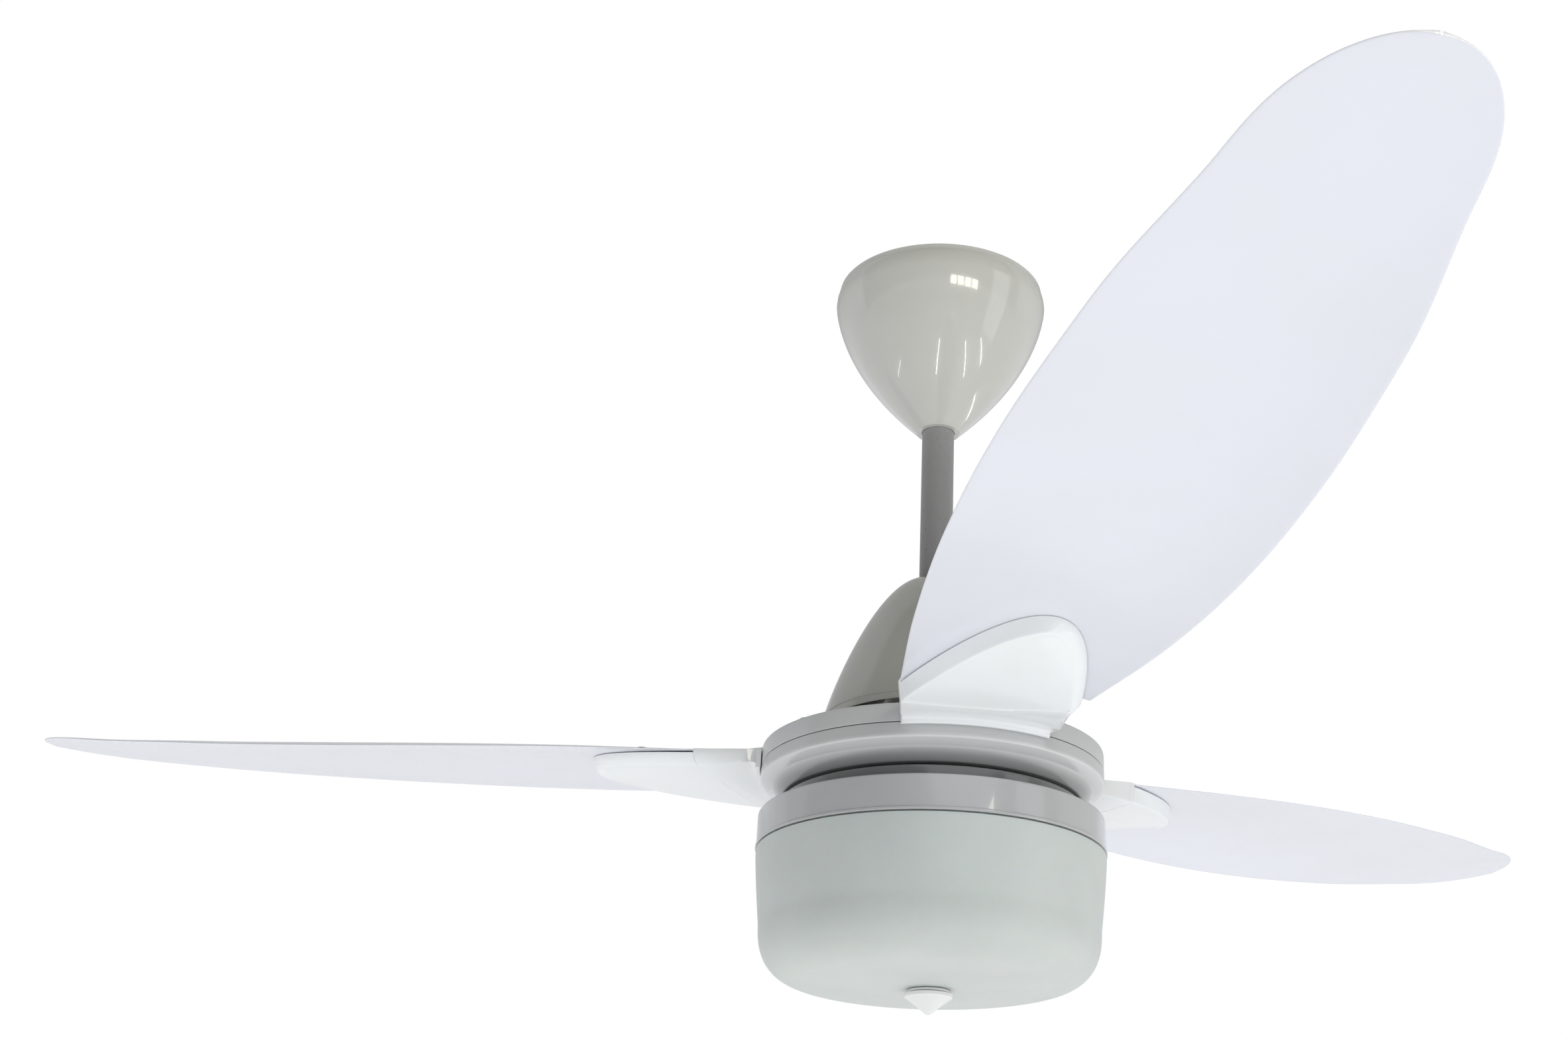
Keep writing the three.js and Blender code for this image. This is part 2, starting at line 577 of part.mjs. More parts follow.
// One lampholder and its lamp lie along X; the second set is turned half round.
function lamps() {
  const { offset, level: height, base, holder, globe, tip } = LAMP;
  const z = level(height);
  const mouth = -base + holder;
  const back = bar(15.2, -base, mouth - 22, offset, z, FINE);
  const shell = join(back, bar(17, mouth - 23, mouth, offset, z, FINE));
  const socket = cut(shell, bar(13.6, -base + 10, mouth + 1, offset, z, FINE));
  const start = -base + 10 + 2 * GAP;
  const middle = tip - globe - start;
  const neck = mouth - start;
  const curve = [[0, 0], [6, 0], [9, 1.5], [12.9, 3], [12.9, neck], [14, neck + 2.6], [17.5, middle - 17],
    [20.6, middle - 9], [globe, middle], [20.8, middle + 8], [16, middle + 15.6], [8.6, middle + 20.6],
    [0, middle + globe]];
  const outline = curve.map(([r, x]) => new THREE.Vector2(r, x));
  const globeShape = new THREE.LatheGeometry(outline, FINE).rotateZ(-Math.PI / 2);
  const bulb = solid(globeShape.translate(start, offset, z));
  const half = new THREE.Matrix4().makeRotationZ(Math.PI);
  add('lampholder_a', socket, 'holder');
  add('lampholder_b', moved(socket, half), 'holder');
  add('bulb_a', bulb, 'lamp');
  add('bulb_b', moved(bulb, half), 'lamp');
}

function capacitor() {
  const top = level(PAN.top - PAN.wall - GAP);
  add('capacitor', block([-18, 52, top - 22], [18, 66, top]), 'rubber');
}

function glassStud() {
  add('glass_stud', post(STUD.radius, level(STUD.bottom), level(STUD.top), FINE), 'zinc');
}

// The shade's wall from shoulder to the middle of its floor; inset moves it inwards.
function glassWall(inset) {
  const { radius, waist, waistLevel, foot, corner, power } = GLASS;
  const drop = waistLevel - foot;
  const wall = [[radius - inset, PAN.rim - 0.9 - (inset ? 2 : 0)], [(radius + waist) / 2 + 0.5 - inset, -78],
    [waist - inset, waistLevel]];
  for (const part of [0.3, 0.55, 0.78, 0.95]) {
    const fall = drop * Math.sin(part * Math.PI / 2);
    const reach = corner * (1 - (fall / drop) ** power) ** (1 / power);
    wall.push([waist - corner + reach - inset, waistLevel - fall + inset * part]);
  }
  wall.push([waist - corner - 6, foot + inset], [34, foot - 1.5 + inset]);
  return wall;
}

function glassShade() {
  const bore = STUD.radius + 0.6;
  const { outer, top } = GLASS_NECK;
  const shoulder = PAN.rim - 0.9;
  const floor = GLASS.foot - 2.1;
  const outside = [[outer, top], [outer, shoulder], ...glassWall(0), [bore, floor]];
  const inside = [...glassWall(GLASS_WALL), [bore, floor + GLASS_WALL]].reverse();
  const neckIn = outer - GLASS_WALL;
  const profile = [...outside, ...inside, [neckIn, shoulder - 1], [neckIn, top], [outer, top]];
  add('glass_shade', turned(profile.map(([r, z]) => [r, level(z)])), 'glass');
  const gasket = tube(neckIn + 0.3, outer - 0.3, level(top + GAP), level(PAN.shoulder - PAN.wall - GAP));
  add('glass_gasket', gasket, 'rubber');
}

function finial() {
  const floor = GLASS.foot - 2.1;
  const washer = tube(STUD.radius + GAP, 11.2, level(floor - GAP - 1.4), level(floor - GAP), FINE);
  add('finial_washer', washer, 'cap');
  const top = floor - 2 * GAP - 1.4;
  const body = turned([[0, top], [12.4, top], [12.9, top - 0.8], [12.9, top - 2], [11, top - 3.4],
    [1.6, top - 10.6], [0, top - 11]].map(([r, z]) => [r, level(z)]), FINE);
  const socket = post(STUD.radius + GAP, level(STUD.bottom - GAP), level(top + 1), FINE);
  add('finial', cut(body, socket), 'cap');
}

hangerBracket();
hangerBolt();
splitPin();
terminalBlock();
downrod();
motorShaft();
couplingBolt();
canopyWithScrew('upper_canopy', UPPER_CANOPY);
canopyWithScrew('lower_canopy', LOWER_CANOPY);
statorCore();
windings();
bearing('bearing_upper', BEARING.upperLevel);
bearing('bearing_lower', BEARING.lowerLevel);
add('rotor_cage', tube(68.8, 84, level(-16), level(-2.8)), 'aluminium');
upperShell();
lowerShell();
shellScrews();
bladeSets();
lightPan();
lampBracket();
lamps();
capacitor();
glassStud();
glassShade();
finial();

export default fan;
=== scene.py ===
"""Looks for the ceiling fan with light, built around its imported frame.

Metres, +Z up, origin in the middle of the hanger's ceiling face. Profiles are written in
millimetres, with heights measured from the top edge of the rotor's round band, and go
through level() and MM.
"""
import math

import bmesh
import bpy
from mathutils import Matrix, Vector


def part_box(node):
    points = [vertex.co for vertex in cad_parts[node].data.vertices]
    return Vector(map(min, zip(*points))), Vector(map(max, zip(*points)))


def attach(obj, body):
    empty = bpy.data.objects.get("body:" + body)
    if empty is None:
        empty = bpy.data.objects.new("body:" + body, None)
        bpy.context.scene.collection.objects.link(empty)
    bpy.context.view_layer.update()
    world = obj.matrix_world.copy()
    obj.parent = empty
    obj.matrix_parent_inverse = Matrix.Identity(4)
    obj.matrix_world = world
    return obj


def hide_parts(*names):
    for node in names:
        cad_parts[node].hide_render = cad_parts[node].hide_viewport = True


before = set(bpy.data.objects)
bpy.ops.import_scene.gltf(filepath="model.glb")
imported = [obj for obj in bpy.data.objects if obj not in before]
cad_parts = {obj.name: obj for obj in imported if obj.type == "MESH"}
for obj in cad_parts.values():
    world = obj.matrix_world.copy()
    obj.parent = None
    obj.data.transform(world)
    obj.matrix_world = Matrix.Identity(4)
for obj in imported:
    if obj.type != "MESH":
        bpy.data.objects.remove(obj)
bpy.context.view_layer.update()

MM = 0.001
ROUND = 160                     # facets round the large turned pieces
FINE = 72                       # facets round the small turned pieces
LOWER_SHELL_TOP = -10.5         # from the band's top edge
BAND_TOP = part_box("lower_shell")[1].z / MM - LOWER_SHELL_TOP
PIVOT = (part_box("hanger_bolt")[0].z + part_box("hanger_bolt")[1].z) / 2 / MM
GAP = 0.3                       # clearance between touching pieces


def level(z):
    """A height in millimetres from the band's top edge, as one from the ceiling face."""
    return BAND_TOP + z


def raised(profile):
    """A profile whose heights are from the band's top edge, with them from the ceiling face."""
    return [(p[0], level(p[1]), *p[2:]) for p in profile]


# ---- shader nodes --------------------------------------------------------------------

def fill(tree, node, **inputs):
    """Sets a node's inputs to plain values, or links them from other nodes. A _ stands for a space."""
    for name, value in inputs.items():
        socket = node.inputs[name.replace("_", " ")]
        if isinstance(value, bpy.types.NodeSocket):
            tree.links.new(value, socket)
        else:
            socket.default_value = value
    return node


def add(tree, kind, **inputs):
    return fill(tree, tree.nodes.new("ShaderNode" + kind), **inputs)


def new_material(name):
    made = bpy.data.materials.new(name)
    made.use_nodes = True
    return made, made.node_tree, made.node_tree.nodes["Principled BSDF"]


def object_place(tree):
    return add(tree, "TexCoord").outputs["Object"]


def noise(tree, place, scale, detail, rough=0.5):
    return add(tree, "TexNoise", Vector=place, Scale=scale, Detail=detail, Roughness=rough).outputs["Fac"]


def ramp(tree, value, stops):
    """A colour that follows the value through stops of (value, colour)."""
    node = add(tree, "ValToRGB", Fac=value)
    elements = node.color_ramp.elements
    while len(elements) < len(stops):
        elements.new(0.5)
    for element, (place, colour) in zip(elements, stops):
        element.position = place
        element.color = (*colour, 1)
    return node.outputs["Color"]


def ranged(tree, value, low, high):
    """Noise, which mostly lies between 0.3 and 0.7, spread from low to high."""
    node = add(tree, "MapRange", Value=value, From_Min=0.3, From_Max=0.7, To_Min=low, To_Max=high)
    return node.outputs["Result"]


def spread_over(tree, value, low, high):
    """A value between low and high, spread from 0 to 1."""
    return add(tree, "MapRange", Value=value, From_Min=low, From_Max=high).outputs["Result"]


def bump(tree, value, strength, distance):
    return add(tree, "Bump", Height=value, Strength=strength, Distance=distance).outputs["Normal"]


def mixed(tree, share, first, second, blend="MIX"):
    node = tree.nodes.new("ShaderNodeMix")
    node.data_type = "RGBA"
    node.blend_type = blend
    return fill(tree, node, Factor=share, A=first, B=second).outputs["Result"]


def painted_light_and_shade(tree, tone, stops, low, high):
    """Painted light and shade: a colour multiplied by greys that follow the height between two levels in
    millimetres.
    """
    height = add(tree, "SeparateXYZ", Vector=object_place(tree)).outputs["Z"]
    share = spread_over(tree, height, level(low) * MM, level(high) * MM)
    greys = ramp(tree, share, [(place, (grey, grey, grey)) for place, grey in stops])
    return mixed(tree, 1, tone, greys, "MULTIPLY")


# ---- stage, light and camera ---------------------------------------------------------

# The sky's colour by height, in front of the fan and behind it.
FRONT_SKY = [(0, (0.80, 0.82, 0.86)), (0.35, (0.36, 0.37, 0.385)), (1, (0.17, 0.17, 0.17))]
BACK_SKY = [(0, (0.78, 0.80, 0.84)), (0.6, (0.78, 0.78, 0.80)), (1, (0.42, 0.42, 0.42))]
FAN_MIDDLE = (0, 0, -0.3)
FLOOR_SIZE = 200
FLOOR_HEIGHT = -1.75
FLOOR_GLOW = 0.60
PANES = 4
TUBE_HEIGHT = -1.4
TUBE_WIDTH = 0.03
TUBE_TARGET = (0, 0, -0.065)
# Each tube's two ends on the plan, and its power.
TUBES = [((0, -1.88), (-0.143, -1.13), 1.2), ((1.345, -1.64), (1.204, -0.803), 1.3),
         ((2.44, -1.40), (2.2, -0.544), 1.8), ((-2.04, -0.728), (-2.284, -0.064), 0.4),
         ((2.22, 0.352), (2.71, 1.86), 2.2)]


def make_camera():
    """The camera stands in front of and below the fan and looks up at it."""
    data = bpy.data.cameras.new("camera")
    data.sensor_width = 36
    data.lens = 44.346
    data.shift_x = -0.0654
    data.shift_y = 0.0168
    camera = bpy.data.objects.new("camera", data)
    camera.location = (0, -1.0365, -0.6195)
    right = Vector((0.99952, 0.01664, 0.02626)).normalized()
    ahead = Vector((-0.02569, 0.91758, 0.39671)).normalized()
    up = right.cross(ahead).normalized()
    turn = Matrix((right, up, -ahead)).transposed()
    camera.rotation_euler = turn.to_euler()
    bpy.context.scene.collection.objects.link(camera)
    bpy.context.scene.camera = camera


def make_world():
    """White to the camera. As light it is dim above the fan, paler below, and bright behind."""
    world = bpy.data.worlds.new("studio")
    world.use_nodes = True
    tree = world.node_tree
    tree.nodes.clear()
    way = add(tree, "SeparateXYZ", Vector=add(tree, "TexCoord").outputs["Generated"])
    height = spread_over(tree, way.outputs["Z"], -0.25, 0.45)
    behind = spread_over(tree, way.outputs["Y"], -0.03, 0.05)
    tone = mixed(tree, behind, ramp(tree, height, FRONT_SKY), ramp(tree, height, BACK_SKY))
    soft = add(tree, "Background", Color=tone)
    seen = add(tree, "Background", Color=(1, 1, 1, 1))
    choice = add(tree, "MixShader", Fac=add(tree, "LightPath").outputs["Is Camera Ray"])
    tree.links.new(soft.outputs[0], choice.inputs[1])
    tree.links.new(seen.outputs[0], choice.inputs[2])
    add(tree, "OutputWorld", Surface=choice.outputs[0])
    bpy.context.scene.world = world


def area_light(name, place, target, size, power, colour=(1, 1, 1)):
    """A rectangular lamp that the camera does not see itself."""
    data = bpy.data.lights.new(name, "AREA")
    data.shape = "RECTANGLE"
    data.size, data.size_y = size
    data.energy = power
    data.color = colour
    light = bpy.data.objects.new(name, data)
    light.location = place
    light.rotation_euler = (Vector(target) - Vector(place)).to_track_quat("-Z", "Y").to_euler()
    light.visible_camera = False
    bpy.context.scene.collection.objects.link(light)


def window_light(place, target, pane, gap, power, colour):
    """Panes in a row, which show as a window in the gloss."""
    aim = (Vector(target) - Vector(place)).to_track_quat("-Z", "Y")
    for i in range(PANES):
        shift_right = aim @ Vector(((i - (PANES - 1) / 2) * (pane[0] + gap), 0, 0))
        spot = Vector(place) + shift_right
        area_light(f"pane_{i}", spot, Vector(target) + shift_right, pane, power / PANES, colour)


def tube_light(name, start, end, target, width, power):
    """A long thin lamp from start to end that shines on the target."""
    start, end = Vector(start), Vector(end)
    middle = (start + end) / 2
    area_light(name, middle, target, ((end - start).length, width), power)
    light = bpy.data.objects[name]
    along = (end - start).normalized()
    back = middle - Vector(target)
    back = (back - back.dot(along) * along).normalized()
    light.rotation_euler = Matrix((along, back.cross(along), back)).transposed().to_euler()


def pale_floor():
    """A white floor that glows softly, so the fan is lit from below all round."""
    made, tree, shader = new_material("pale_floor")
    cloud = noise(tree, object_place(tree), 0.4, 2)
    tone = ramp(tree, cloud, [(0.3, (0.80, 0.80, 0.81)), (0.7, (0.84, 0.84, 0.85))])
    fill(tree, shader, Base_Color=tone, Emission_Color=tone, Emission_Strength=FLOOR_GLOW, Roughness=0.8)
    return made


def make_stage():
    bpy.ops.mesh.primitive_plane_add(size=FLOOR_SIZE, location=(0, 0, FLOOR_HEIGHT))
    floor = bpy.context.object
    floor.name = "floor"
    floor.data.materials.append(pale_floor())
    area_light("overhead", (0.3, 0.8, 3.0), FAN_MIDDLE, (2.4, 2.4), 75)
    bpy.data.objects["overhead"].visible_glossy = False
    area_light("right_soft", (3.0, -1.3, -0.2), FAN_MIDDLE, (1.2, 2.4), 8, (1, 0.98, 1))
    window_light((0.37, -0.82, -0.055), (0, 0, -0.06), (0.1, 0.1), 0.02, 1.1, (1, 0.95, 0.80))
    for i, (start, end, power) in enumerate(TUBES):
        ends = (*start, TUBE_HEIGHT), (*end, TUBE_HEIGHT)
        tube_light(f"tube_{i}", *ends, TUBE_TARGET, TUBE_WIDTH, power)


# ---- materials -----------------------------------------------------------------------

# Painted light and shade, multiplied into a finish's colour: greys by share of the height between
# two levels, and those levels. The enamel's follow the light's ring, its top, the neck, and the
# rotor's slope, lip and band: painted shade on the ring's top, the neck and the slope, and a
# painted highlight on the lip, which is left brighter than the band.
ENAMEL_PAINTED_SHADING = [(0, 0.76), (0.36, 0.76), (0.37, 0.27), (0.508, 0.32), (0.533, 0.38), (0.583, 0.50),
                 (0.625, 0.72), (0.655, 0.97), (0.70, 1), (0.733, 0.79), (1, 0.79)], -60, 0
# The canopies': painted shade on the lower canopy, and painted light towards the upper canopy's rim.
CANOPY_PAINTED_SHADING = [(0, 0.68), (0.35, 0.72), (0.66, 0.90), (0.88, 0.90), (0.95, 1), (1, 1)], 0, 300
# The rod's: painted shade towards its foot.
ROD_PAINTED_SHADE = [(0, 0.7), (1, 1)], 100, 190
# The glass's: painted shade towards its floor.
GLASS_PAINTED_SHADE = [(0, 0.89), (0.15, 0.9), (0.5, 0.97), (1, 1)], -131, -100
WARM = (1.0, 1.0, 0.985)        # a finish's darker patches are a touch warmer
PEEL_DEPTH = 0.0002


def finish(name, colour, rough, metal=0.0, tint=0.04, scale=14, peel=0.12, peel_scale=900,
           coat=0.0, spread=0.04, painted_shading=None):
    """A moulded, painted or plated surface: drifting tint, uneven gloss and fine orange peel, with any light
    and shade given by height painted into the colour.
    """
    made, tree, shader = new_material(name)
    place = object_place(tree)
    dark = tuple(c * (1 - tint) * w for c, w in zip(colour, WARM))
    light = tuple(min(1, c * (1 + tint * 0.6)) for c in colour)
    tone = ramp(tree, noise(tree, place, scale, 4, 0.55), [(0.32, dark), (0.68, light)])
    if painted_shading:
        # Light and shade painted into the colour by height.
        tone = painted_light_and_shade(tree, tone, *painted_shading)
    uneven = noise(tree, place, scale * 9, 3, 0.6)
    gloss = ranged(tree, uneven, max(0.02, rough - spread), rough + spread)
    peeled = bump(tree, noise(tree, place, peel_scale, 2), peel, PEEL_DEPTH)
    fill(tree, shader, Base_Color=tone, Roughness=gloss, Normal=peeled, Metallic=metal)
    if coat:
        fill(tree, shader, Coat_Weight=coat, Coat_Roughness=0.03)
    return made


def frosted_glass():
    """Etched glass: milky, faintly green, with a fine grain, and shade painted in towards its floor."""
    made, tree, shader = new_material("frosted_glass")
    place = object_place(tree)
    cloud = noise(tree, place, 22, 4, 0.6)
    tone = ramp(tree, cloud, [(0.3, (0.70, 0.74, 0.71)), (0.7, (0.75, 0.785, 0.755))])
    grain = noise(tree, place, 2600, 2, 0.7)
    # Shade painted into the colour towards the floor, by height.
    fill(tree, shader, Base_Color=painted_light_and_shade(tree, tone, *GLASS_PAINTED_SHADE),
         Roughness=ranged(tree, grain, 0.38, 0.52), Normal=bump(tree, grain, 0.16, PEEL_DEPTH),
         Subsurface_Weight=0.2, Subsurface_Scale=0.012, Transmission_Weight=0.08, IOR=1.5)
    return made


def ringed_metal(name, colour, rough, scale):
    """Metal with fine rings or laminations along Z."""
    made, tree, shader = new_material(name)
    place = object_place(tree)
    bands = add(tree, "TexWave", Vector=place, Scale=scale, Distortion=0.4)
    bands.bands_direction = "Z"
    rings = bands.outputs["Fac"]
    dark = tuple(c * 0.72 for c in colour)
    gloss = ranged(tree, noise(tree, place, 70, 4, 0.6), rough - 0.06, rough + 0.1)
    fill(tree, shader, Base_Color=ramp(tree, rings, [(0.2, dark), (0.8, colour)]), Roughness=gloss,
         Normal=bump(tree, rings, 0.4, 0.0003), Metallic=1)
    return made


# motor_enamel, canopy_grey and rod_enamel get light and shade painted into their colour by height.
FINISHES = {
    "motor_enamel": dict(colour=(0.71, 0.725, 0.73), rough=0.2, coat=0.6, scale=9, tint=0.035,
                         painted_shading=ENAMEL_PAINTED_SHADING),
    "canopy_grey": dict(colour=(0.645, 0.65, 0.605), rough=0.14, coat=1, scale=11, tint=0.03,
                        painted_shading=CANOPY_PAINTED_SHADING),
    "rod_enamel": dict(colour=(0.33, 0.33, 0.335), rough=0.3, scale=20, painted_shading=ROD_PAINTED_SHADE),
    "blade_white": dict(colour=(0.78, 0.80, 0.86), rough=0.16, scale=7, tint=0.02, peel=0.03, spread=0.015),
    "arm_white": dict(colour=(0.90, 0.93, 0.94), rough=0.12, scale=12, tint=0.02, peel=0.06),
    "finial_white": dict(colour=(0.85, 0.86, 0.86), rough=0.2),
    "zinc_steel": dict(colour=(0.6, 0.61, 0.63), rough=0.32, metal=1.0, scale=60, tint=0.12),
    "bright_steel": dict(colour=(0.72, 0.73, 0.74), rough=0.18, metal=1.0, scale=60, tint=0.08),
    "dark_steel": dict(colour=(0.05, 0.05, 0.055), rough=0.4, metal=0.7, scale=60),
    "cast_aluminium": dict(colour=(0.66, 0.67, 0.69), rough=0.42, metal=1.0, scale=40, tint=0.14, peel=0.3,
                           peel_scale=500),
    "rubber": dict(colour=(0.03, 0.03, 0.032), rough=0.7, scale=40, tint=0.2, peel=0.3),
    "black_case": dict(colour=(0.035, 0.035, 0.04), rough=0.45, scale=30, tint=0.2),
    "white_fitting": dict(colour=(0.84, 0.83, 0.79), rough=0.28, scale=30),
    "lamp_opal": dict(colour=(0.90, 0.89, 0.85), rough=0.22, scale=20, tint=0.02),
}
LOOKS = {name: finish(name, **values) for name, values in FINISHES.items()}
LOOKS["laminations"] = ringed_metal("laminations", (0.30, 0.31, 0.33), 0.5, 71.44)
LOOKS["copper_wire"] = ringed_metal("copper_wire", (0.62, 0.28, 0.12), 0.3, 62.51)
LOOKS["frosted_glass"] = frosted_glass()


# ---- mesh tools ----------------------------------------------------------------------

LIE_X = Matrix(((0, 0, 1, 0), (1, 0, 0, 0), (0, 1, 0, 0), (0, 0, 0, 1)))   # local Z lies along X
ALONG_Y = Matrix.Rotation(-math.pi / 2, 4, "X")      # local Z lies along Y
HALF_TURN = Matrix.Rotation(math.pi, 4, "Z")
EASED_ANGLE = math.radians(32)


def shift(x, y, z):
    """A move in millimetres."""
    return Matrix.Translation((x * MM, y * MM, z * MM))


def moved(mesh, matrix):
    copy = mesh.copy()
    copy.transform(matrix)
    return copy


def spun(mesh, degrees):
    """A copy turned about the fan's axis."""
    return moved(mesh, Matrix.Rotation(math.radians(degrees), 4, "Z"))


def show(name, mesh, look, body, *replaced, slot=None, sharp=35):
    """Puts a mesh in the scene as a piece that rides on a body and stands for CAD nodes.

    The slot argument is not used.
    """
    mesh.materials.clear()
    mesh.materials.append(LOOKS[look])
    mesh.shade_smooth()
    mesh.set_sharp_from_angle(angle=math.radians(sharp))
    piece = bpy.data.objects.new(name, mesh)
    bpy.context.scene.collection.objects.link(piece)
    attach(piece, body)
    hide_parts(*replaced)


def mesh_of(name, points, faces):
    """A clean mesh from points in metres."""
    mesh = bpy.data.meshes.new(name)
    mesh.from_pydata(points, [], faces)
    return cleaned(mesh)


def cleaned(mesh):
    """Merges doubled corners and removes slivers."""
    shape = bmesh.new()
    shape.from_mesh(mesh)
    bmesh.ops.remove_doubles(shape, verts=shape.verts, dist=1e-6)
    bmesh.ops.dissolve_degenerate(shape, edges=shape.edges, dist=1e-6)
    bmesh.ops.recalc_face_normals(shape, faces=shape.faces)
    shape.to_mesh(mesh)
    shape.free()
    return mesh


def combined(mode, mesh, others):
    """Cuts the others from a mesh, joins them to it or keeps what is common."""
    host = bpy.data.objects.new("host", mesh)
    helpers = [host]
    bpy.context.scene.collection.objects.link(host)
    for other in others:
        helper = bpy.data.objects.new("helper", other)
        bpy.context.scene.collection.objects.link(helper)
        helpers.append(helper)
        change = host.modifiers.new("combine", "BOOLEAN")
        change.operation = mode
        change.solver = "MANIFOLD"
        change.object = helper
    graph = bpy.context.evaluated_depsgraph_get()
    made = bpy.data.meshes.new_from_object(host.evaluated_get(graph))
    for helper in helpers:
        bpy.data.objects.remove(helper)
    return cleaned(made)


def cut(mesh, *tools):
    return combined("DIFFERENCE", mesh, tools)


def join(mesh, *others):
    return combined("UNION", mesh, others)


def fillet(corners, closed=True, steps=6):
    """A profile with its corners rounded: they are (r, z) or (r, z, radius)."""
    rounded = []
    count = len(corners)
    for i, corner in enumerate(corners):
        here = Vector(corner[:2])
        radius = corner[2] if len(corner) > 2 else 0
        if not radius or (not closed and i in (0, count - 1)):
            rounded.append(tuple(here))
            continue
        before = Vector(corners[i - 1][:2]) - here
        after = Vector(corners[(i + 1) % count][:2]) - here
        turn = before.angle(after)
        reach = min(radius / math.tan(turn / 2), before.length * 0.49, after.length * 0.49)
        first = here + before.normalized() * reach
        last = here + after.normalized() * reach
        for k in range(steps + 1):
            t = k / steps
            rounded.append(tuple(first * (1 - t) ** 2 + here * 2 * t * (1 - t) + last * t**2))
    return rounded


def turned(name, profile, closed=True, facets=ROUND, wave=None):
    """A turned mesh about Z from (r, z) points in millimetres; wave(angle, r, z) shapes the radius."""
    points, faces = [], []
    count = len(profile)
    for i in range(facets):
        a = 2 * math.pi * i / facets
        for r, z in profile:
            reach = r + (wave(a, r, z) if wave else 0)
            points.append((reach * math.cos(a) * MM, reach * math.sin(a) * MM, z * MM))
    for i in range(facets):
        j = (i + 1) % facets
        for k in range(count if closed else count - 1):
            m = (k + 1) % count
            if profile[k][0] < 1e-6 and profile[m][0] < 1e-6:
                continue
            face = [i * count + k, j * count + k, j * count + m, i * count + m]
            if profile[k][0] < 1e-6:
                face.pop(1)
            elif profile[m][0] < 1e-6:
                face.pop(2)
            faces.append(face)
    return mesh_of(name, points, faces)


def pin(radius, low, high, edge=0.3, facets=FINE, about=Matrix()):
    """A plain cylinder about Z with eased ends."""
    corners = [(0, low), (radius, low, edge), (radius, high, edge), (0, high)]
    mesh = turned("pin", fillet(corners, closed=False, steps=3), closed=False, facets=facets)
    return moved(mesh, about)


def ring(inner, outer, low, high, edge, facets=FINE):
    """A flat ring about Z with eased edges."""
    corners = [(inner, low, edge), (outer, low, edge), (outer, high, edge), (inner, high, edge)]
    return turned("ring", fillet(corners, steps=3), facets=facets)


def threaded(radius, low, high, pitch=1.0, depth=0.3, facets=36):
    """A rod with ring grooves for its thread and a short lead at each end."""
    turns = max(2, round((high - low - 1.2) / pitch))
    line = [(0, low), (radius - depth - 0.3, low), (radius - depth, low + 0.5)]
    for k in range(turns):
        start = low + 0.6 + (high - low - 1.2) * k / turns
        line += [(radius - depth, start), (radius, start + pitch * 0.38), (radius, start + pitch * 0.5)]
    line += [(radius - depth, high - 0.5), (radius - depth - 0.3, high), (0, high)]
    return turned("threaded", line, closed=False, facets=facets)


def prism(outline, low, high, edge=0.0):
    """A flat outline of (x, y) corners pulled up from low to high, with eased edges."""
    count = len(outline)
    points = [(x * MM, y * MM, z * MM) for z in (low, high) for x, y in outline]
    faces = [list(range(count)), [count + i for i in range(count)]]
    faces += [[i, (i + 1) % count, count + (i + 1) % count, count + i] for i in range(count)]
    return eased(mesh_of("prism", points, faces), edge)


def eased(mesh, edge):
    """Bevels every edge that turns more than EASED_ANGLE."""
    if not edge:
        return mesh
    shape = bmesh.new()
    shape.from_mesh(mesh)
    corners = [e for e in shape.edges
               if len(e.link_faces) == 2 and e.calc_face_angle() > EASED_ANGLE]
    bmesh.ops.bevel(shape, geom=corners, offset=edge * MM, segments=2, profile=0.6,
                    affect="EDGES", clamp_overlap=True)
    shape.to_mesh(mesh)
    shape.free()
    return mesh


def box(low, high, edge=0.3):
    outline = [(low[0], low[1]), (high[0], low[1]), (high[0], high[1]), (low[0], high[1])]
    return prism(outline, low[2], high[2], edge)


def hexagon(radius, low, high, crowned_high=True, crowned_low=False):
    """A hexagonal head or nut whose corners are turned off at one end or both."""
    corners = [(radius * math.cos(k * math.pi / 3), radius * math.sin(k * math.pi / 3)) for k in range(6)]
    flat = radius * math.cos(math.pi / 6)
    fall = (radius - flat) * 0.62 + 0.25
    top = [(radius + 1, high - fall - 0.45), (flat - 0.25, high)] if crowned_high else [(radius + 1, high)]
    foot = [(flat - 0.25, low), (radius + 1, low + fall + 0.45)] if crowned_low else [(radius + 1, low)]
    lens = turned("lens", [(0, low)] + foot + top + [(0, high)], closed=False, facets=FINE)
    return combined("INTERSECT", prism(corners, low - 1, high + 1), [lens])


def skin(name, loops, capped=True):
    """Equal closed loops joined into one skin, capped at the start and, if it is open, at the end."""
    count = len(loops[0])
    points = [p for loop in loops for p in loop]
    faces = []
    for i in range(len(loops) - 1):
        for j in range(count):
            k = (j + 1) % count
            faces.append([i * count + j, i * count + k, (i + 1) * count + k, (i + 1) * count + j])
    last = (len(loops) - 1) * count
    half = count // 2
    for start in (0, last) if capped else (0,):
        for j in range(half - 1):
            faces.append([start + j, start + j + 1, start + count - 2 - j, start + count - 1 - j])
    return mesh_of(name, points, faces)


def lift(points):
    """Blade-local millimetres to metres at the band's height."""
    return [(x * MM, y * MM, level(z) * MM) for x, y, z in points]


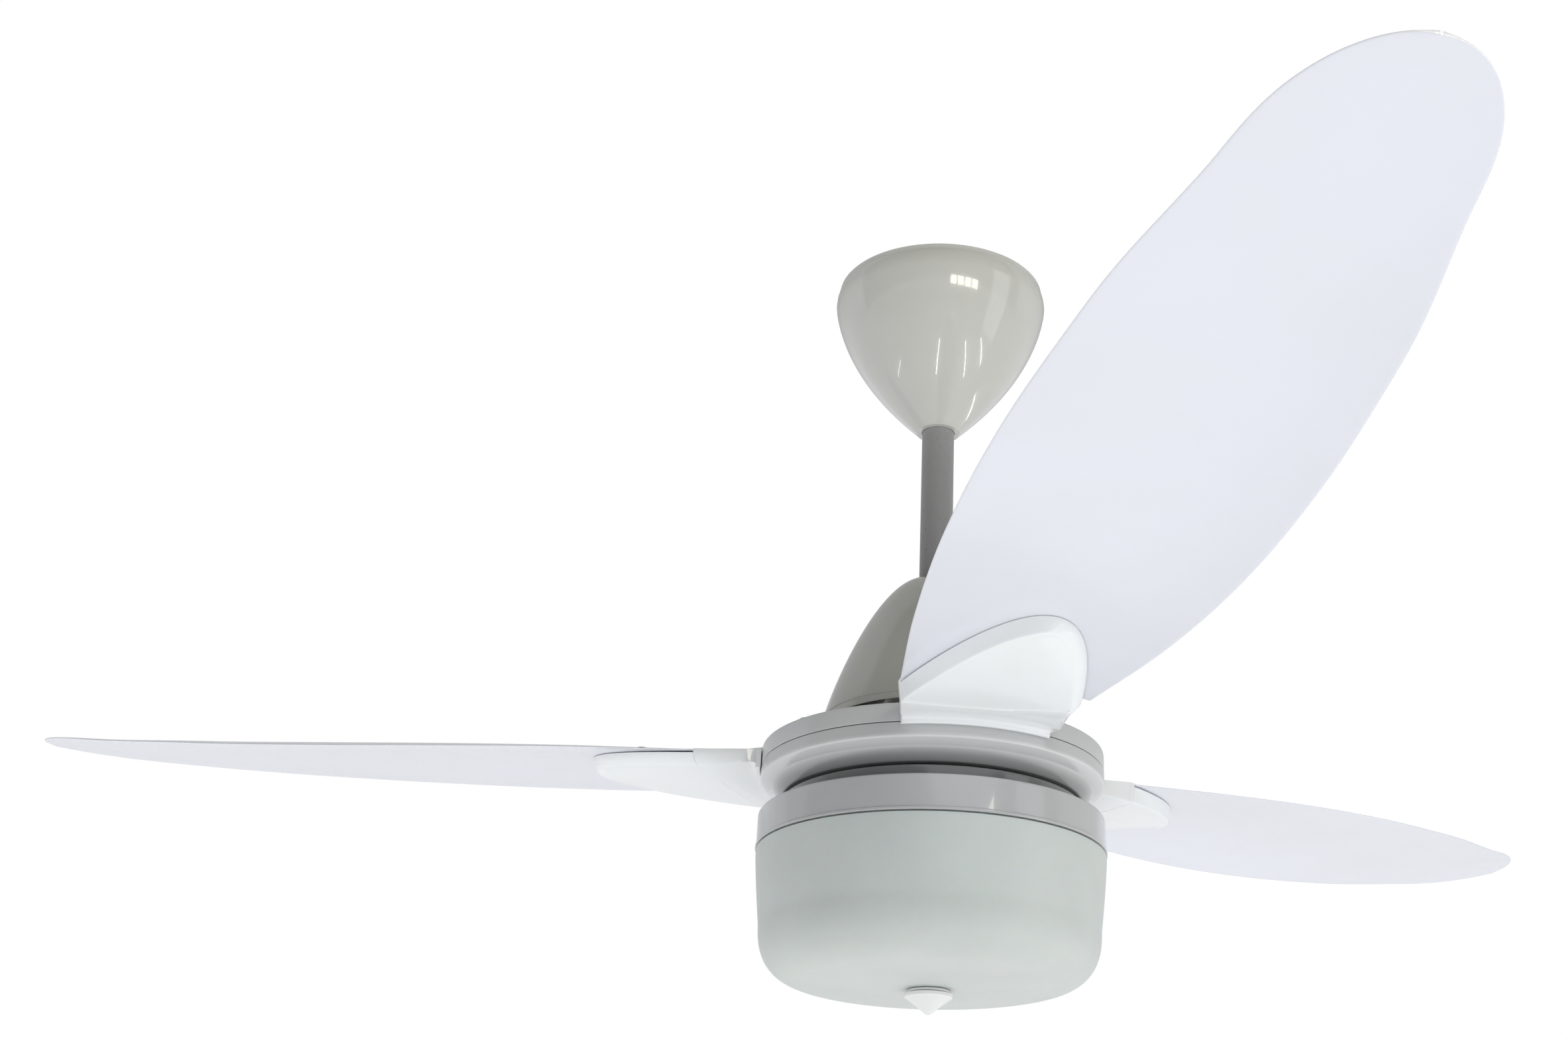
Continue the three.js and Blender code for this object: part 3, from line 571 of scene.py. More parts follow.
def wire(route, radius):
    """A round wire through points in millimetres."""
    data = bpy.data.curves.new("wire", "CURVE")
    data.dimensions = "3D"
    data.bevel_depth = radius * MM
    data.bevel_resolution = 3
    data.use_fill_caps = True
    data.resolution_u = 6
    spline = data.splines.new("BEZIER")
    spline.bezier_points.add(len(route) - 1)
    for knot, place in zip(spline.bezier_points, route):
        knot.co = Vector(place) * MM
        knot.handle_left_type = knot.handle_right_type = "AUTO"
    holder = bpy.data.objects.new("wire", data)
    bpy.context.scene.collection.objects.link(holder)
    graph = bpy.context.evaluated_depsgraph_get()
    mesh = bpy.data.meshes.new_from_object(holder.evaluated_get(graph))
    bpy.data.objects.remove(holder)
    return cleaned(mesh)


def polar(radius, degrees):
    """The x, y of a point that far from the axis, at that azimuth."""
    return radius * math.cos(math.radians(degrees)), radius * math.sin(math.radians(degrees))


# ---- canopies, rod and housing -------------------------------------------------------

UPPER = dict(neck=13.4, rim=64.8, turn_in=4, neck_level=202, rim_level=295.8, power=1.9, root=1,
             collar=0.6, screw_level=204.2)
LOWER = dict(neck=13.8, rim=63, turn_in=0, neck_level=103.4, rim_level=14.5, power=1.15, root=0.64,
             collar=0.6, screw_level=101.8)
CANOPY_WALL = 2.0
BEAD = 3.6                      # the bead round a canopy, from its rim
LIP_INSET = 0.75                # how far the wall steps in past the bead
ROD_RADIUS = 9.525
ROD_BORE = 8.0
ROD_TOP, ROD_BOTTOM = 284, 45
PIVOT_AXIS = shift(0, 0, PIVOT) @ LIE_X             # along the hanger bolt
COUPLING_AXIS = shift(0, 0, level(60)) @ LIE_X      # along the bolt through rod and shaft
DECK_SCREW_ANGLES = (-6.6, 17.4)    # from the arm's azimuth
DECK_CIRCLE = 86                # radius of the arms' screws on the deck
SHELL_CIRCLE = 88.5             # radius of the shells' own screws
AZIMUTHS = dict(a=159.645, b=279.645, c=39.645)


def canopy_radius(form, share):
    """The bell's radius at a share of the way from its neck to its rim."""
    bell = (1 - (1 - share) ** form["power"]) ** form["root"]
    turned_in = form["turn_in"] * max(0, (share - 0.86) / 0.14) ** 2
    return form["neck"] + (form["rim"] - form["neck"]) * bell - turned_in


def canopy(name, form):
    """A moulded bell with a fine bead round its rim and a straight collar at its neck."""
    rise = form["rim_level"] - form["neck_level"]
    up = math.copysign(1, rise)
    rim_level, neck = form["rim_level"], form["neck"]
    rim = form["rim"] - form["turn_in"]
    steps = 44
    shares = [(k / steps) ** 1.6 for k in range(steps + 1)]

    def at(share, inset):
        return canopy_radius(form, share) - inset, form["neck_level"] + rise * share

    bead = rim_level - up * BEAD
    outer = [at(s, 0) for s in shares if abs(at(s, 0)[1] - rim_level) > BEAD + 0.8]
    shoulder = canopy_radius(form, 1 - (BEAD + 0.5) / abs(rise))
    lip = shoulder - LIP_INSET
    edge = [(shoulder, bead - up * 0.45), (shoulder - 0.2, bead - up * 0.12), (lip + 0.2, bead),
            (lip, bead + up * 0.2), (lip, rim_level - up * 0.5), (lip - 0.4, rim_level),
            (rim - CANOPY_WALL, rim_level)]
    inner = [at(s, CANOPY_WALL) for s in reversed(shares) if 0.2 <= s < 0.97]
    bore = ROD_RADIUS + GAP
    mouth = form["neck_level"] - up * form["collar"]
    inside = form["neck_level"] + rise * 0.06
    collar = [(bore, mouth), (neck - 0.5, mouth), (neck, mouth + up * 0.5)]
    bell = turned(name, raised(collar + outer + edge + inner + [(bore, inside)]))
    around = shift(0, 0, level(form["screw_level"])) @ ALONG_Y
    reach = canopy_radius(form, max(0, (form["screw_level"] - form["neck_level"]) / rise))
    bell = cut(bell, pin(1.7, ROD_RADIUS - 1, reach + 2, 0, 24, around))
    show(name + "_shell", bell, "canopy_grey", name, name)
    slot = box((-0.3, -2, reach - 1.3), (0.3, 2, reach))
    screw = cut(threaded(1.4, bore, reach - 0.4, 0.6, 0.15, 24), slot)
    show("grub_" + name, moved(screw, around), "zinc_steel", name, name + "_grub_screw")


def rod():
    profile = [(ROD_BORE, ROD_BOTTOM, 0.4), (ROD_RADIUS, ROD_BOTTOM, 0.5), (ROD_RADIUS, ROD_TOP, 0.5),
               (ROD_BORE, ROD_TOP, 0.4)]
    mesh = turned("rod_tube", fillet(raised(profile)), facets=96)
    pivot_hole = pin(6.4, -12, 12, 0, 48, PIVOT_AXIS)
    bolt_hole = pin(3.3, -12, 12, 0, 32, COUPLING_AXIS)
    show("rod_tube", cut(mesh, pivot_hole, bolt_hole), "rod_enamel", "hanging_frame", "downrod")
    sleeve = moved(ring(4.3, 6.1, -15.7, 15.7, 0.5), PIVOT_AXIS)
    show("pivot_sleeve", sleeve, "rubber", "hanging_frame", "swing_bush")


def spots():
    """Where the screws stand on the rotor's deck: two for each arm, and one between arms."""
    arm = [polar(DECK_CIRCLE, azimuth + angle)
           for azimuth in AZIMUTHS.values() for angle in DECK_SCREW_ANGLES]
    between = [polar(SHELL_CIRCLE, azimuth + 60) for azimuth in AZIMUTHS.values()]
    return arm, between


def upper_shell():
    profile = [(93, -10.1), (95, -10.1, 0.35), (95, 0, 1.2), (76, 0, 1.5), (68, 3.4, 4), (60, 7.4, 4),
               (52, 9.2, 6), (34, 11.2, 8), (20, 12.5, 2), (8.8, 12.5, 0.5), (8.8, 9.9), (17.5, 9.9),
               (17.5, -1), (20, -1), (20, 9), (34, 9), (52, 7), (60, 5.2), (68, 1.2), (76, -2), (93, -2)]
    mesh = turned("motor_cover_upper", fillet(raised(profile)))
    arm, between = spots()
    holes = [pin(2.2, level(-4), level(2), 0, 24, shift(x, y, 0)) for x, y in arm]
    holes += [pin(2, level(-4), level(2), 0, 24, shift(x, y, 0)) for x, y in between]
    show("motor_cover_upper", cut(mesh, *holes), "motor_enamel", "rotor", "upper_shell")


def lower_shell():
    profile = [(93, -10.6), (95, -10.6, 0.35), (95, -18.2, 1.6), (89.3, -21.1, 2.5), (83.3, -28, 1.5),
               (8.8, -28, 0.5), (8.8, -26), (17.5, -26), (17.5, -16.5), (20, -16.5), (20, -26), (82.3, -26),
               (88, -19.2), (93, -16.9)]
    mesh = turned("motor_cover_lower", fillet(raised(profile)))
    _, between = spots()
    posts = [pin(3.4, level(-19.8), level(-10.8), 0.3, 32, shift(x, y, 0)) for x, y in between]
    holes = [pin(2, level(-17.5), level(-10), 0, 24, shift(x, y, 0)) for x, y in between]
    show("motor_cover_lower", cut(join(mesh, *posts), *holes), "motor_enamel", "rotor", "lower_shell")


def light_pan():
    profile = [(7.8, -29.5, 0.3), (83.3, -29.5, 1.5), (83.3, -37.7, 0.8), (95.3, -37.7, 1.4),
               (95.5, -54.9, 0.3), (96.1, -55.5, 0.4), (96.1, -56.8, 0.4), (94.1, -56.8, 0.3),
               (93.9, -39.2, 1), (81.8, -39.2, 1), (81.8, -31, 1), (7.8, -31)]
    mesh = turned("light_ring", fillet(raised(profile)))
    show("light_ring", mesh, "motor_enamel", "hanging_frame", "light_pan")


# ---- ceiling hanger ------------------------------------------------------------------

SPLIT_PIN_X = 29


def stadium(half, top, middle, facets=24):
    """A tab with a round end: (x, y) corners, straight from top down to middle, then round."""
    arc = [math.pi * k / facets for k in range(facets + 1)]
    return [(half, top)] + [(half * math.cos(a), middle - half * math.sin(a)) for a in arc] + [(-half, top)]


def hanger_bracket():
    """A plate with two holes for the ceiling screws and two ears that carry the bolt."""
    plate = box((-50, -18, -3), (50, 18, 0), 0.8)
    ears = [moved(prism(stadium(13, -1.5, PIVOT), side, side + 2.5, 0.4), LIE_X) for side in (-18.5, 16)]
    ribs = [box((side - 1.2, -15, -5.4), (side + 1.2, 15, -2), 0.7) for side in (-20, 20)]
    screw_holes = [pin(3, -5, 2, 0, 32, shift(side * 38, 0, 0)) for side in (-1, 1)]
    bracket = join(plate, *ears, *ribs)
    bracket = cut(bracket, *screw_holes, pin(4.3, -60, 60, 0, 48, PIVOT_AXIS))
    show("ceiling_bracket", bracket, "zinc_steel", "ceiling_hanger", "hanger_bracket")


def pivot_bolt():
    bolt = join(moved(hexagon(7, -23.8, -18.8, False, True), PIVOT_AXIS),
                pin(4, -21, 18.9, 0.2, 48, PIVOT_AXIS),
                moved(threaded(4, 18.5, 33, 1.25, 0.35), PIVOT_AXIS))
    bolt = cut(bolt, pin(1.6, PIVOT - 6, PIVOT + 6, 0, 24, shift(SPLIT_PIN_X, 0, 0)))
    show("pivot_bolt", bolt, "zinc_steel", "ceiling_hanger", "hanger_bolt")
    nut = cut(hexagon(7, 18.8, 24.8, True, True), pin(4.3, 17, 27, 0, 48))
    show("pivot_nut", moved(nut, PIVOT_AXIS), "zinc_steel", "ceiling_hanger", "hanger_nut")


def split_pin():
    """One bent wire: two legs down through the bolt and a loop above it."""
    route = [(-0.7, -9), (-0.7, -3), (-0.7, 4.5), (-2.2, 6.5), (-1.6, 9), (0, 9.8), (1.6, 9), (2.2, 6.5),
             (0.7, 4.5), (0.7, -3), (2.6, -8)]
    mesh = wire([(SPLIT_PIN_X, y, PIVOT + z) for y, z in route], 0.55)
    show("pivot_split_pin", mesh, "zinc_steel", "ceiling_hanger", "split_pin")


def terminals():
    """A block with three ways, each with a wire hole and a screw hole."""
    block = box((-29.8, -11, -22), (-18.8, 11, -5), 0.6)
    ways = (-7, 0, 7)
    tools = [pin(2.2, -31, -22.8, 0, 32, shift(0, y, -17.5) @ LIE_X) for y in ways]
    tools += [pin(1.6, -31, -25.8, 0, 24, shift(0, y, -9.5) @ LIE_X) for y in ways]
    tools += [box((-31, y - 0.5, -23), (-28.9, y + 0.5, -4), 0) for y in (-3.5, 3.5)]
    show("wire_block", cut(block, *tools), "white_fitting", "ceiling_hanger", "terminal_block")


# ---- shaft and motor -----------------------------------------------------------------

STATOR_SLOTS = 18


def shaft():
    profile = [(4, -42, 0.4), (7.2, -42, 0.4), (7.2, -31, 0.2), (7.5, -30.6), (7.5, 82, 0.8), (4, 82, 0.4)]
    mesh = turned("shaft_tube", fillet(raised(profile)), facets=64)
    mesh = cut(mesh, pin(3.3, -12, 12, 0, 32, COUPLING_AXIS))
    show("shaft_tube", mesh, "zinc_steel", "hanging_frame", "motor_shaft")


def coupling():
    bolt = join(moved(hexagon(5.6, -13.8, -9.8, False, True), COUPLING_AXIS),
                pin(3, -12, 10, 0.2, 36, COUPLING_AXIS),
                moved(threaded(3, 9.6, 19, 1, 0.3), COUPLING_AXIS))
    show("rod_bolt", bolt, "zinc_steel", "hanging_frame", "coupling_bolt")
    nut = cut(hexagon(5.6, 9.8, 14.8, True, True), pin(3.3, 8, 17, 0, 36))
    show("rod_nut", moved(nut, COUPLING_AXIS), "zinc_steel", "hanging_frame", "coupling_nut")


def bearing(name, low, body):
    """Two races with a shield between them."""
    high = low + 9
    profile = [(7.8, low, 0.5), (10.4, low, 0.2), (10.4, low + 0.7), (14.4, low + 0.7), (14.4, low, 0.2),
               (17.2, low, 0.6), (17.2, high, 0.6), (14.4, high, 0.2), (14.4, high - 0.7), (10.4, high - 0.7),
               (10.4, high, 0.2), (7.8, high, 0.5)]
    mesh = turned(name, fillet(raised(profile), steps=3), facets=96)
    show(name + "_races", mesh, "bright_steel", body, name, slot="zinc_steel")


def stator_core():
    """A stack of laminations, with teeth that stand for the wound slots."""
    outline = []
    for i in range(STATOR_SLOTS):
        for r, part in [(68, -0.3), (68, -0.1), (68, 0.1), (68, 0.3), (50, 0.36), (50, 0.64)]:
            outline.append(polar(r, (i + part) * 360 / STATOR_SLOTS))
    disc = prism(outline, level(-15), level(-3), 0.3)
    hole = pin(7.8, level(-16), level(-2), 0, 64)
    show("stator_stack", cut(disc, hole), "laminations", "hanging_frame", "stator_core")


def winding(name, low, high):
    """A ring of coil ends that pinches in between the slots."""
    bulge = (high - low) * 0.35
    profile = fillet([(37, low, 0.5), (62, low, 0.5), (62, high - bulge, 2), (57, high, 2.5),
                      (42, high, 2.5), (37, high - bulge, 2)])

    def strands(angle, r, z):
        return 0.35 * (abs(math.sin(angle * STATOR_SLOTS / 2)) - 1) * (1 if r > 50 else -1)

    mesh = turned(name, raised(profile), facets=216, wave=strands)
    show(name + "_coils", mesh, "copper_wire", "hanging_frame", name)


def rotor_cage():
    """A ring with bars round its outside."""
    profile = raised([(68.8, -16, 0.4), (84, -16, 1), (84, -2.8, 1), (68.8, -2.8, 0.4)])

    def bars(angle, r, z):
        return -0.5 if r > 80 and math.sin(angle * 36) > 0.5 else 0

    mesh = turned("rotor_cage", fillet(profile), facets=216, wave=bars)
    show("rotor_ring", mesh, "cast_aluminium", "rotor", "rotor_cage")


def screw(head_radius, head_low, head_high, shank_radius, shank_low):
    """A domed cross-head screw about Z."""
    crown = (head_high - head_low) * 0.55
    line = [(0, head_low), (head_radius, head_low, 0.3), (head_radius, head_high - crown, 0.8),
            (head_radius * 0.62, head_high - crown * 0.2, 2), (0, head_high)]
    head = turned("head", fillet(line, closed=False, steps=4), closed=False, facets=48)
    arm = head_radius * 0.52
    wing = head_radius * 0.13
    floor = head_high - (head_high - head_low) * 0.6
    cross = [box((-arm, -wing, floor), (arm, wing, head_high + 1), 0),
             box((-wing, -arm, floor), (wing, arm, head_high + 1), 0)]
    shank = threaded(shank_radius, shank_low, head_low + 0.6, 0.9, 0.22, 28)
    return join(cut(head, *cross), shank)


def shell_screws():
    mesh = screw(3.5, level(GAP), level(2.6), 1.7, level(-17))
    for i, (x, y) in enumerate(spots()[1]):
        placed = moved(mesh, shift(x, y, 0))
        show(f"cover_screw_{i + 1}", placed, "zinc_steel", "rotor", f"shell_screw_{i + 1}")


# ---- blades and arms -----------------------------------------------------------------

BLADE_START, BLADE_END = 121.9, 591.1
BLADE_HALF, BLADE_EDGE = 1.0, 0.4   # half thickness, in the middle and at the edges
EDGE_ROUND = 0.8
# The blade's pitch in degrees and its climb, each at the root and by the share of the length
# and that share's square.
PITCH = (2.775, 16.672, -10.853)
CLIMB = (-2.2, 30.9, 22.6)
CAMBER, CUP = 0.0023, 0.000615      # how the width arches between its edges, and rises from the line v = 0
TIP_BEGINS, TIP_LENGTH, TIP_POWER = 0.714, 0.286, 2.2
# Its middle line and half width at shares of its length.
KNOTS = [0, 0.15, 0.32, 0.5, 0.68, 0.84, 0.94]
MIDLINE = [10.9, 17.7, 23.7, 29.3, 35.3, 41.0, 44.7]
HALF_WIDTH = [48.7, 60.2, 66.3, 65.3, 57.9, 48.7, 53.1]
BLADE_SCREWS = ((165, -12), (165, 34))


def smooth(values, s):
    """A smooth curve through a table of values, straight past both ends."""
    last = len(KNOTS) - 1

    def slope(i):
        low, high = max(i - 1, 0), min(i + 1, last)
        return (values[high] - values[low]) / (KNOTS[high] - KNOTS[low])

    if s >= KNOTS[last]:
        return values[last] + slope(last) * (s - KNOTS[last])
    i = max((k for k in range(last) if KNOTS[k] <= s), default=0)
    step = KNOTS[i + 1] - KNOTS[i]
    t = (s - KNOTS[i]) / step
    return ((2 * t**3 - 3 * t**2 + 1) * values[i] + (t**3 - 2 * t**2 + t) * step * slope(i)
            + (3 * t**2 - 2 * t**3) * values[i + 1] + (t**3 - t**2) * step * slope(i + 1))


def blade_height(u, v):
    """The blade's middle surface: it climbs, is pitched, and arches across its width."""
    s = (u - BLADE_START) / (BLADE_END - BLADE_START)
    pitch = math.radians(PITCH[0] + PITCH[1] * s + PITCH[2] * s * s)
    low, high = blade_edges(s)
    arch = CAMBER * max(0.0, (v - low) * (high - v))
    share = (v - low) / max(1e-6, high - low)
    climb = CLIMB[0] + CLIMB[1] * s + CLIMB[2] * s * s
    return climb - math.tan(pitch) * v + CUP * v * v + arch * (0.5 + 0.8 * share)


def blade_edges(s):
    """The v of the blade's two edges at a share of its length."""
    x = max(0.0, (s - TIP_BEGINS) / TIP_LENGTH)
    half = smooth(HALF_WIDTH, s) * math.sqrt(max(0.0, 1 - x**TIP_POWER))
    return smooth(MIDLINE, s) - half, smooth(MIDLINE, s) + half


def blade_mesh():
    """A cupped moulding 2 mm thick that thins to a rounded 0.8 mm edge."""
    stations, across = 120, 34
    parts = [0.5 - 0.5 * math.cos(math.pi * k / across) for k in range(across + 1)]
    loops = []
    for i in range(stations + 1):
        s = min(1 - (1 - i / stations) ** 2, 0.99985)
        u = BLADE_START + s * (BLADE_END - BLADE_START)
        low, high = blade_edges(s)
        width = high - low

        def half(part):
            edge = min(part, 1 - part) * width
            body = BLADE_EDGE + (BLADE_HALF - BLADE_EDGE) * (1 - (2 * part - 1) ** 2)
            return body * math.sqrt(max(0.0, 1 - (1 - min(edge, EDGE_ROUND) / EDGE_ROUND) ** 2))

        def row(sign, order):
            points = [(u, low + width * part, part) for part in order]
            return [(u, v, blade_height(u, v) + sign * max(half(part), 0.03)) for u, v, part in points]

        loops.append(lift(row(1, parts) + row(-1, parts[::-1])))
    return skin("blade", loops)


def surface_frame(u, v):
    """A frame whose Z is square to the blade's surface at u, v."""
    along = Vector((1, 0, blade_height(u + 1, v) - blade_height(u, v)))
    across = Vector((0, 1, blade_height(u, v + 1) - blade_height(u, v)))
    turn = Vector((0, 0, 1)).rotation_difference(along.cross(across).normalized())
    return shift(u, v, level(blade_height(u, v))) @ turn.to_matrix().to_4x4()


ARM_SHOULDER, ARM_REACH, ARM_POWER = 119, 83.4, 1.11
ARM_MIDDLE, ARM_LEAN, ARM_HALF = 8.5, 11.9, 46.7
ARM_TAPER = 0.15                # how fast the arm narrows inboard of its shoulder
BLADE_SEAT = 121.25             # inboard of this the pad is flush with the blade's top
PAD_INNER, PAD_FLOOR = 106, -9.8
SKIRT_FOOT = -12.3
# Rings about the fan's axis that bring the arm down to the band: radius, low v, high v, underside.
ARM_RINGS = [(95.6, -32.3, 46.7, -12.0), (95.8, -32.3, 46.7, -12.2), (96.2, -32.3, 46.7, SKIRT_FOOT),
             (98.0, -32.3, 46.7, SKIRT_FOOT), (98.3, -32.3, 46.7, -12.1), (98.4, -32.3, 46.7, -11.7),
             (98.4, -32.3, 46.7, -10.4), (98.6, -32.4, 46.9, -9.95), (99.1, -32.6, 47.4, -9.6),
             (100.2, -33.0, 48.3, -9.5), (102.5, -33.8, 49.7, -9.6), (PAD_INNER, -35.0, 51.6, PAD_FLOOR)]


def arm_edges(u):
    """The v of the arm's two edges."""
    x = max(0.0, (u - ARM_SHOULDER) / ARM_REACH) ** ARM_POWER
    inboard = max(0.0, ARM_SHOULDER - u)
    middle = ARM_MIDDLE + ARM_LEAN * x
    half = ARM_HALF * math.sqrt(max(0.0, 1 - x)) - ARM_TAPER * inboard
    return middle - half, middle + half


def arm_outline():
    """Stations from the band to the tip: each one's u at any v, its two ends and its underside."""
    stations = []
    for radius, low, high, under in ARM_RINGS:
        stations.append((lambda v, r=radius: math.sqrt(r * r - v * v), low, high, under))
    straight = [111, 115, 118, 120.6, 121.2, 121.3, 124]
    steps = 34
    straight += [ARM_SHOULDER + ARM_REACH * (1 - (1 - k / steps) ** 2) for k in range(2, steps + 1)]
    for u in straight:
        low, high = arm_edges(u)
        stations.append((lambda v, u=u: u, low, high, None))
    return stations


def arm_body():
    """The pad: a crisp leading wall, a soft trailing edge, a crowned face and a skirt on the band."""
    stations = arm_outline()
    across, wall_steps = 22, 9
    lows = [Vector((place(low), low)) for place, low, _, _ in stations]
    highs = [Vector((place(high), high)) for place, _, high, _ in stations]
    outline = lows + highs[-2::-1]
    last = len(outline) - 1

    def outward(i):
        step = outline[min(i + 1, last)] - outline[max(i - 1, 0)]
        return Vector((step.y, -step.x)).normalized()

    def rim_height(u, v):
        return blade_height(u, v) + (BLADE_HALF if u < BLADE_SEAT else -BLADE_HALF - GAP)

    def wall(i, under):
        """From the top edge down to the face: (u, v, z) points on one side of the pad."""
        here, out = outline[i], outward(i)
        soft = min(1.0, max(0.0, (out.y + 0.25) / 1.1))
        soft = soft * soft * (3 - 2 * soft)
        top = rim_height(here.x, here.y)
        depth = 9.6 - 3.2 * (out.y + 1) / 2
        foot = blade_height(here.x, here.y) - BLADE_HALF - GAP - depth
        if under is not None:
            soft *= 0.35
            foot = under
        elif here.x < BLADE_SEAT:
            near = (here.x - PAD_INNER) / (BLADE_SEAT - PAD_INNER)
            foot += (PAD_FLOOR - foot) * max(0.0, 1 - near) ** 1.5
        points = []
        for k in range(wall_steps + 1):
            t = k / wall_steps
            steep = min(1.0, t * 1.6)
            bend = math.pi / 2 * max(0.0, (t - 0.62) / 0.38)
            crisp_drop = min(1.0, 0.93 * steep + 0.07 * math.sin(bend))
            crisp_inset = 1.3 * steep + 1.3 * (1 - math.cos(bend))
            soft_drop = math.sin(math.pi / 2 * t)
            soft_inset = 7.5 * (1 - math.cos(math.pi / 2 * t))
            drop = crisp_drop * (1 - soft) + soft_drop * soft
            inset = (crisp_inset * (1 - soft) + soft_inset * soft) * min(1.0, (here.x - 90) / 16)
            spot = here - out * max(0.0, inset)
            points.append((spot.x, spot.y, top + (foot - top) * drop))
        return points

    loops = []
    for i, (place, low, high, under) in enumerate(stations):
        mirrored = last - i
        near, far = wall(i, under), wall(mirrored, under)
        if under is not None:
            near = [(place(v), v, z) for _, v, z in near]
            far = [(place(v), v, z) for _, v, z in far]
        top = []
        for k in range(across + 1):
            v = low + (high - low) * k / across
            u = place(v)
            top.append((u, v, rim_height(u, v)))
        face = []
        crown = 0.8 * min(1.0, (high - low) / 40) * (1 if under is None else 0)
        for k in range(1, across):
            part = k / across
            u, v, z = (a + (b - a) * part for a, b in zip(far[-1], near[-1]))
            if under is not None:
                u = place(v)
            face.append((u, v, z - crown * (1 - (2 * part - 1) ** 2)))
        loops.append(lift(top + far[1:] + face + near[:0:-1]))
    return skin("arm", loops, capped=False)


def arm_mesh():
    """The pad with its tongue, which lies on the deck, and its screw holes."""
    outline = [(66, -18), (108, -18), (108, 34), (66, 34)]
    tongue = prism(outline, level(GAP), level(3.3), 0.5)
    tongue = cut(tongue, pin(77, level(-5), level(8), 0, ROUND))
    tools = [pin(2.2, level(-1), level(6), 0, 24, shift(*polar(DECK_CIRCLE, angle), 0))
             for angle in DECK_SCREW_ANGLES]
    tools += [moved(pin(2.4, -7.5, 5, 0, 24), surface_frame(*spot)) for spot in BLADE_SCREWS]
    return cut(join(arm_body(), tongue), *tools)


def blade_sets():
    """Three alike sets of a blade, its arm and their screws."""
    holes = [moved(pin(2.4, -7.5, 5, 0, 24), surface_frame(*spot)) for spot in BLADE_SCREWS]
    blade = cut(blade_mesh(), *holes)
    arm = arm_mesh()
    blade_screw = screw(4.8, BLADE_HALF + GAP, 4.2, 2, -7)
    deck_screw = screw(4.3, level(3.6), level(6.1), 1.9, level(-2.3))
    for letter, turn in AZIMUTHS.items():
        show(f"fan_blade_{letter}", spun(blade, turn), "blade_white", "rotor", f"blade_{letter}", sharp=60)
        show(f"arm_pad_{letter}", spun(arm, turn), "arm_white", "rotor", f"blade_arm_{letter}", sharp=50)
        for k, spot in enumerate(BLADE_SCREWS, 1):
            placed = spun(moved(blade_screw, surface_frame(*spot)), turn)
            show(f"blade_bolt_{letter}{k}", placed, "dark_steel", "rotor", f"blade_screw_{letter}{k}")
        for k, angle in enumerate(DECK_SCREW_ANGLES, 1):
            placed = moved(deck_screw, shift(*polar(DECK_CIRCLE, turn + angle), 0))
            show(f"arm_bolt_{letter}{k}", placed, "dark_steel", "rotor", f"arm_screw_{letter}{k}")


# ---- light ---------------------------------------------------------------------------

def pan_nut():
    nut = cut(hexagon(12.5, level(-39.9), level(-31.3), False, True), pin(7.8, level(-41), level(-30), 0, 64))
    show("shaft_nut", nut, "zinc_steel", "hanging_frame", "pan_nut")


def lamp_bracket():
    """A strap with a wing and a leg at each end for the lampholders, and the nut that holds it."""
    top, thick, foot = -42.3, 2, -102
    edge = 70.3
    parts = [box((-edge, -11, level(top - thick)), (edge, 11, level(top)), 0.4),
             box((-edge, -11, level(top - thick)), (-edge + 20, 42, level(top)), 0.4),
             box((edge - 20, -42, level(top - thick)), (edge, 11, level(top)), 0.4),
             box((-edge, 18, level(foot)), (-edge + 2, 42, level(top)), 0.4),
             box((edge - 2, -42, level(foot)), (edge, -18, level(top)), 0.4)]
    bracket = cut(join(*parts), pin(3.9, level(top - 5), level(top + 5), 0, 48))
    show("lamp_strap", bracket, "zinc_steel", "hanging_frame", "lamp_bracket")
    nut = cut(hexagon(7, level(-49.6), level(-44.6), False, True), pin(3.9, level(-51), level(-43), 0, 48))
    show("strap_nut", nut, "zinc_steel", "hanging_frame", "bracket_nut")


def capacitor():
    case = box((-18, 52, level(-53.3)), (18, 66, level(-31.3)), 1.6)
    show("motor_capacitor", case, "black_case", "hanging_frame", "capacitor")


def glass_stud():
    stud = threaded(3.6, level(-138), level(-20), 1.25, 0.35)
    show("long_stud", stud, "zinc_steel", "hanging_frame", "glass_stud")


def lampholder():
    """A ribbed holder along X with a deep socket."""
    profile = [(0, -68), (15.2, -68, 1.2), (15.2, -56.5, 0.3), (16, -56, 0.3), (17, -55, 0.5),
               (17, -34.2, 0.4), (16.4, -33, 0.4), (13.6, -33, 0.3), (13.6, -57.7, 0.6), (0, -57.7)]

    def ribs(angle, r, z):
        return -0.35 * (math.sin(angle * 24) > 0.3) if r > 16.9 and z < -36 else 0

    return turned("lampholder", fillet(profile, closed=False, steps=4), closed=False, facets=144, wave=ribs)


def lamp_cap():
    """A metal cap with a rolled thread."""
    line = [(0, -57.4), (5.5, -57.4, 0.6), (6.5, -56.2, 0.5), (9, -55.8, 0.8), (12.3, -54.2, 0.6)]
    for k in range(6):
        start = -53.6 + k * 3.2
        line += [(12.0, start), (12.6, start + 0.9), (12.9, start + 1.6), (12.6, start + 2.3)]
    line += [(12.4, -33.6), (12.4, -33), (0, -33)]
    return turned("lamp_cap", fillet(line, closed=False, steps=3), closed=False, facets=72)


def lamp_globe():
    """Opal glass: a short neck that swells into a round end."""
    middle, radius = -0.3, 22.3
    line = [(0, -33), (13.2, -33), (13.6, -31.6), (14.6, -28), (16.4, -21), (18.5, -13.5), (20.9, -7)]
    for degrees in range(-5, 90, 5):
        a = math.radians(degrees)
        line.append((radius * math.cos(a), middle + radius * math.sin(a)))
    return turned("lamp_globe", line + [(0, middle + radius)], closed=False, facets=96)


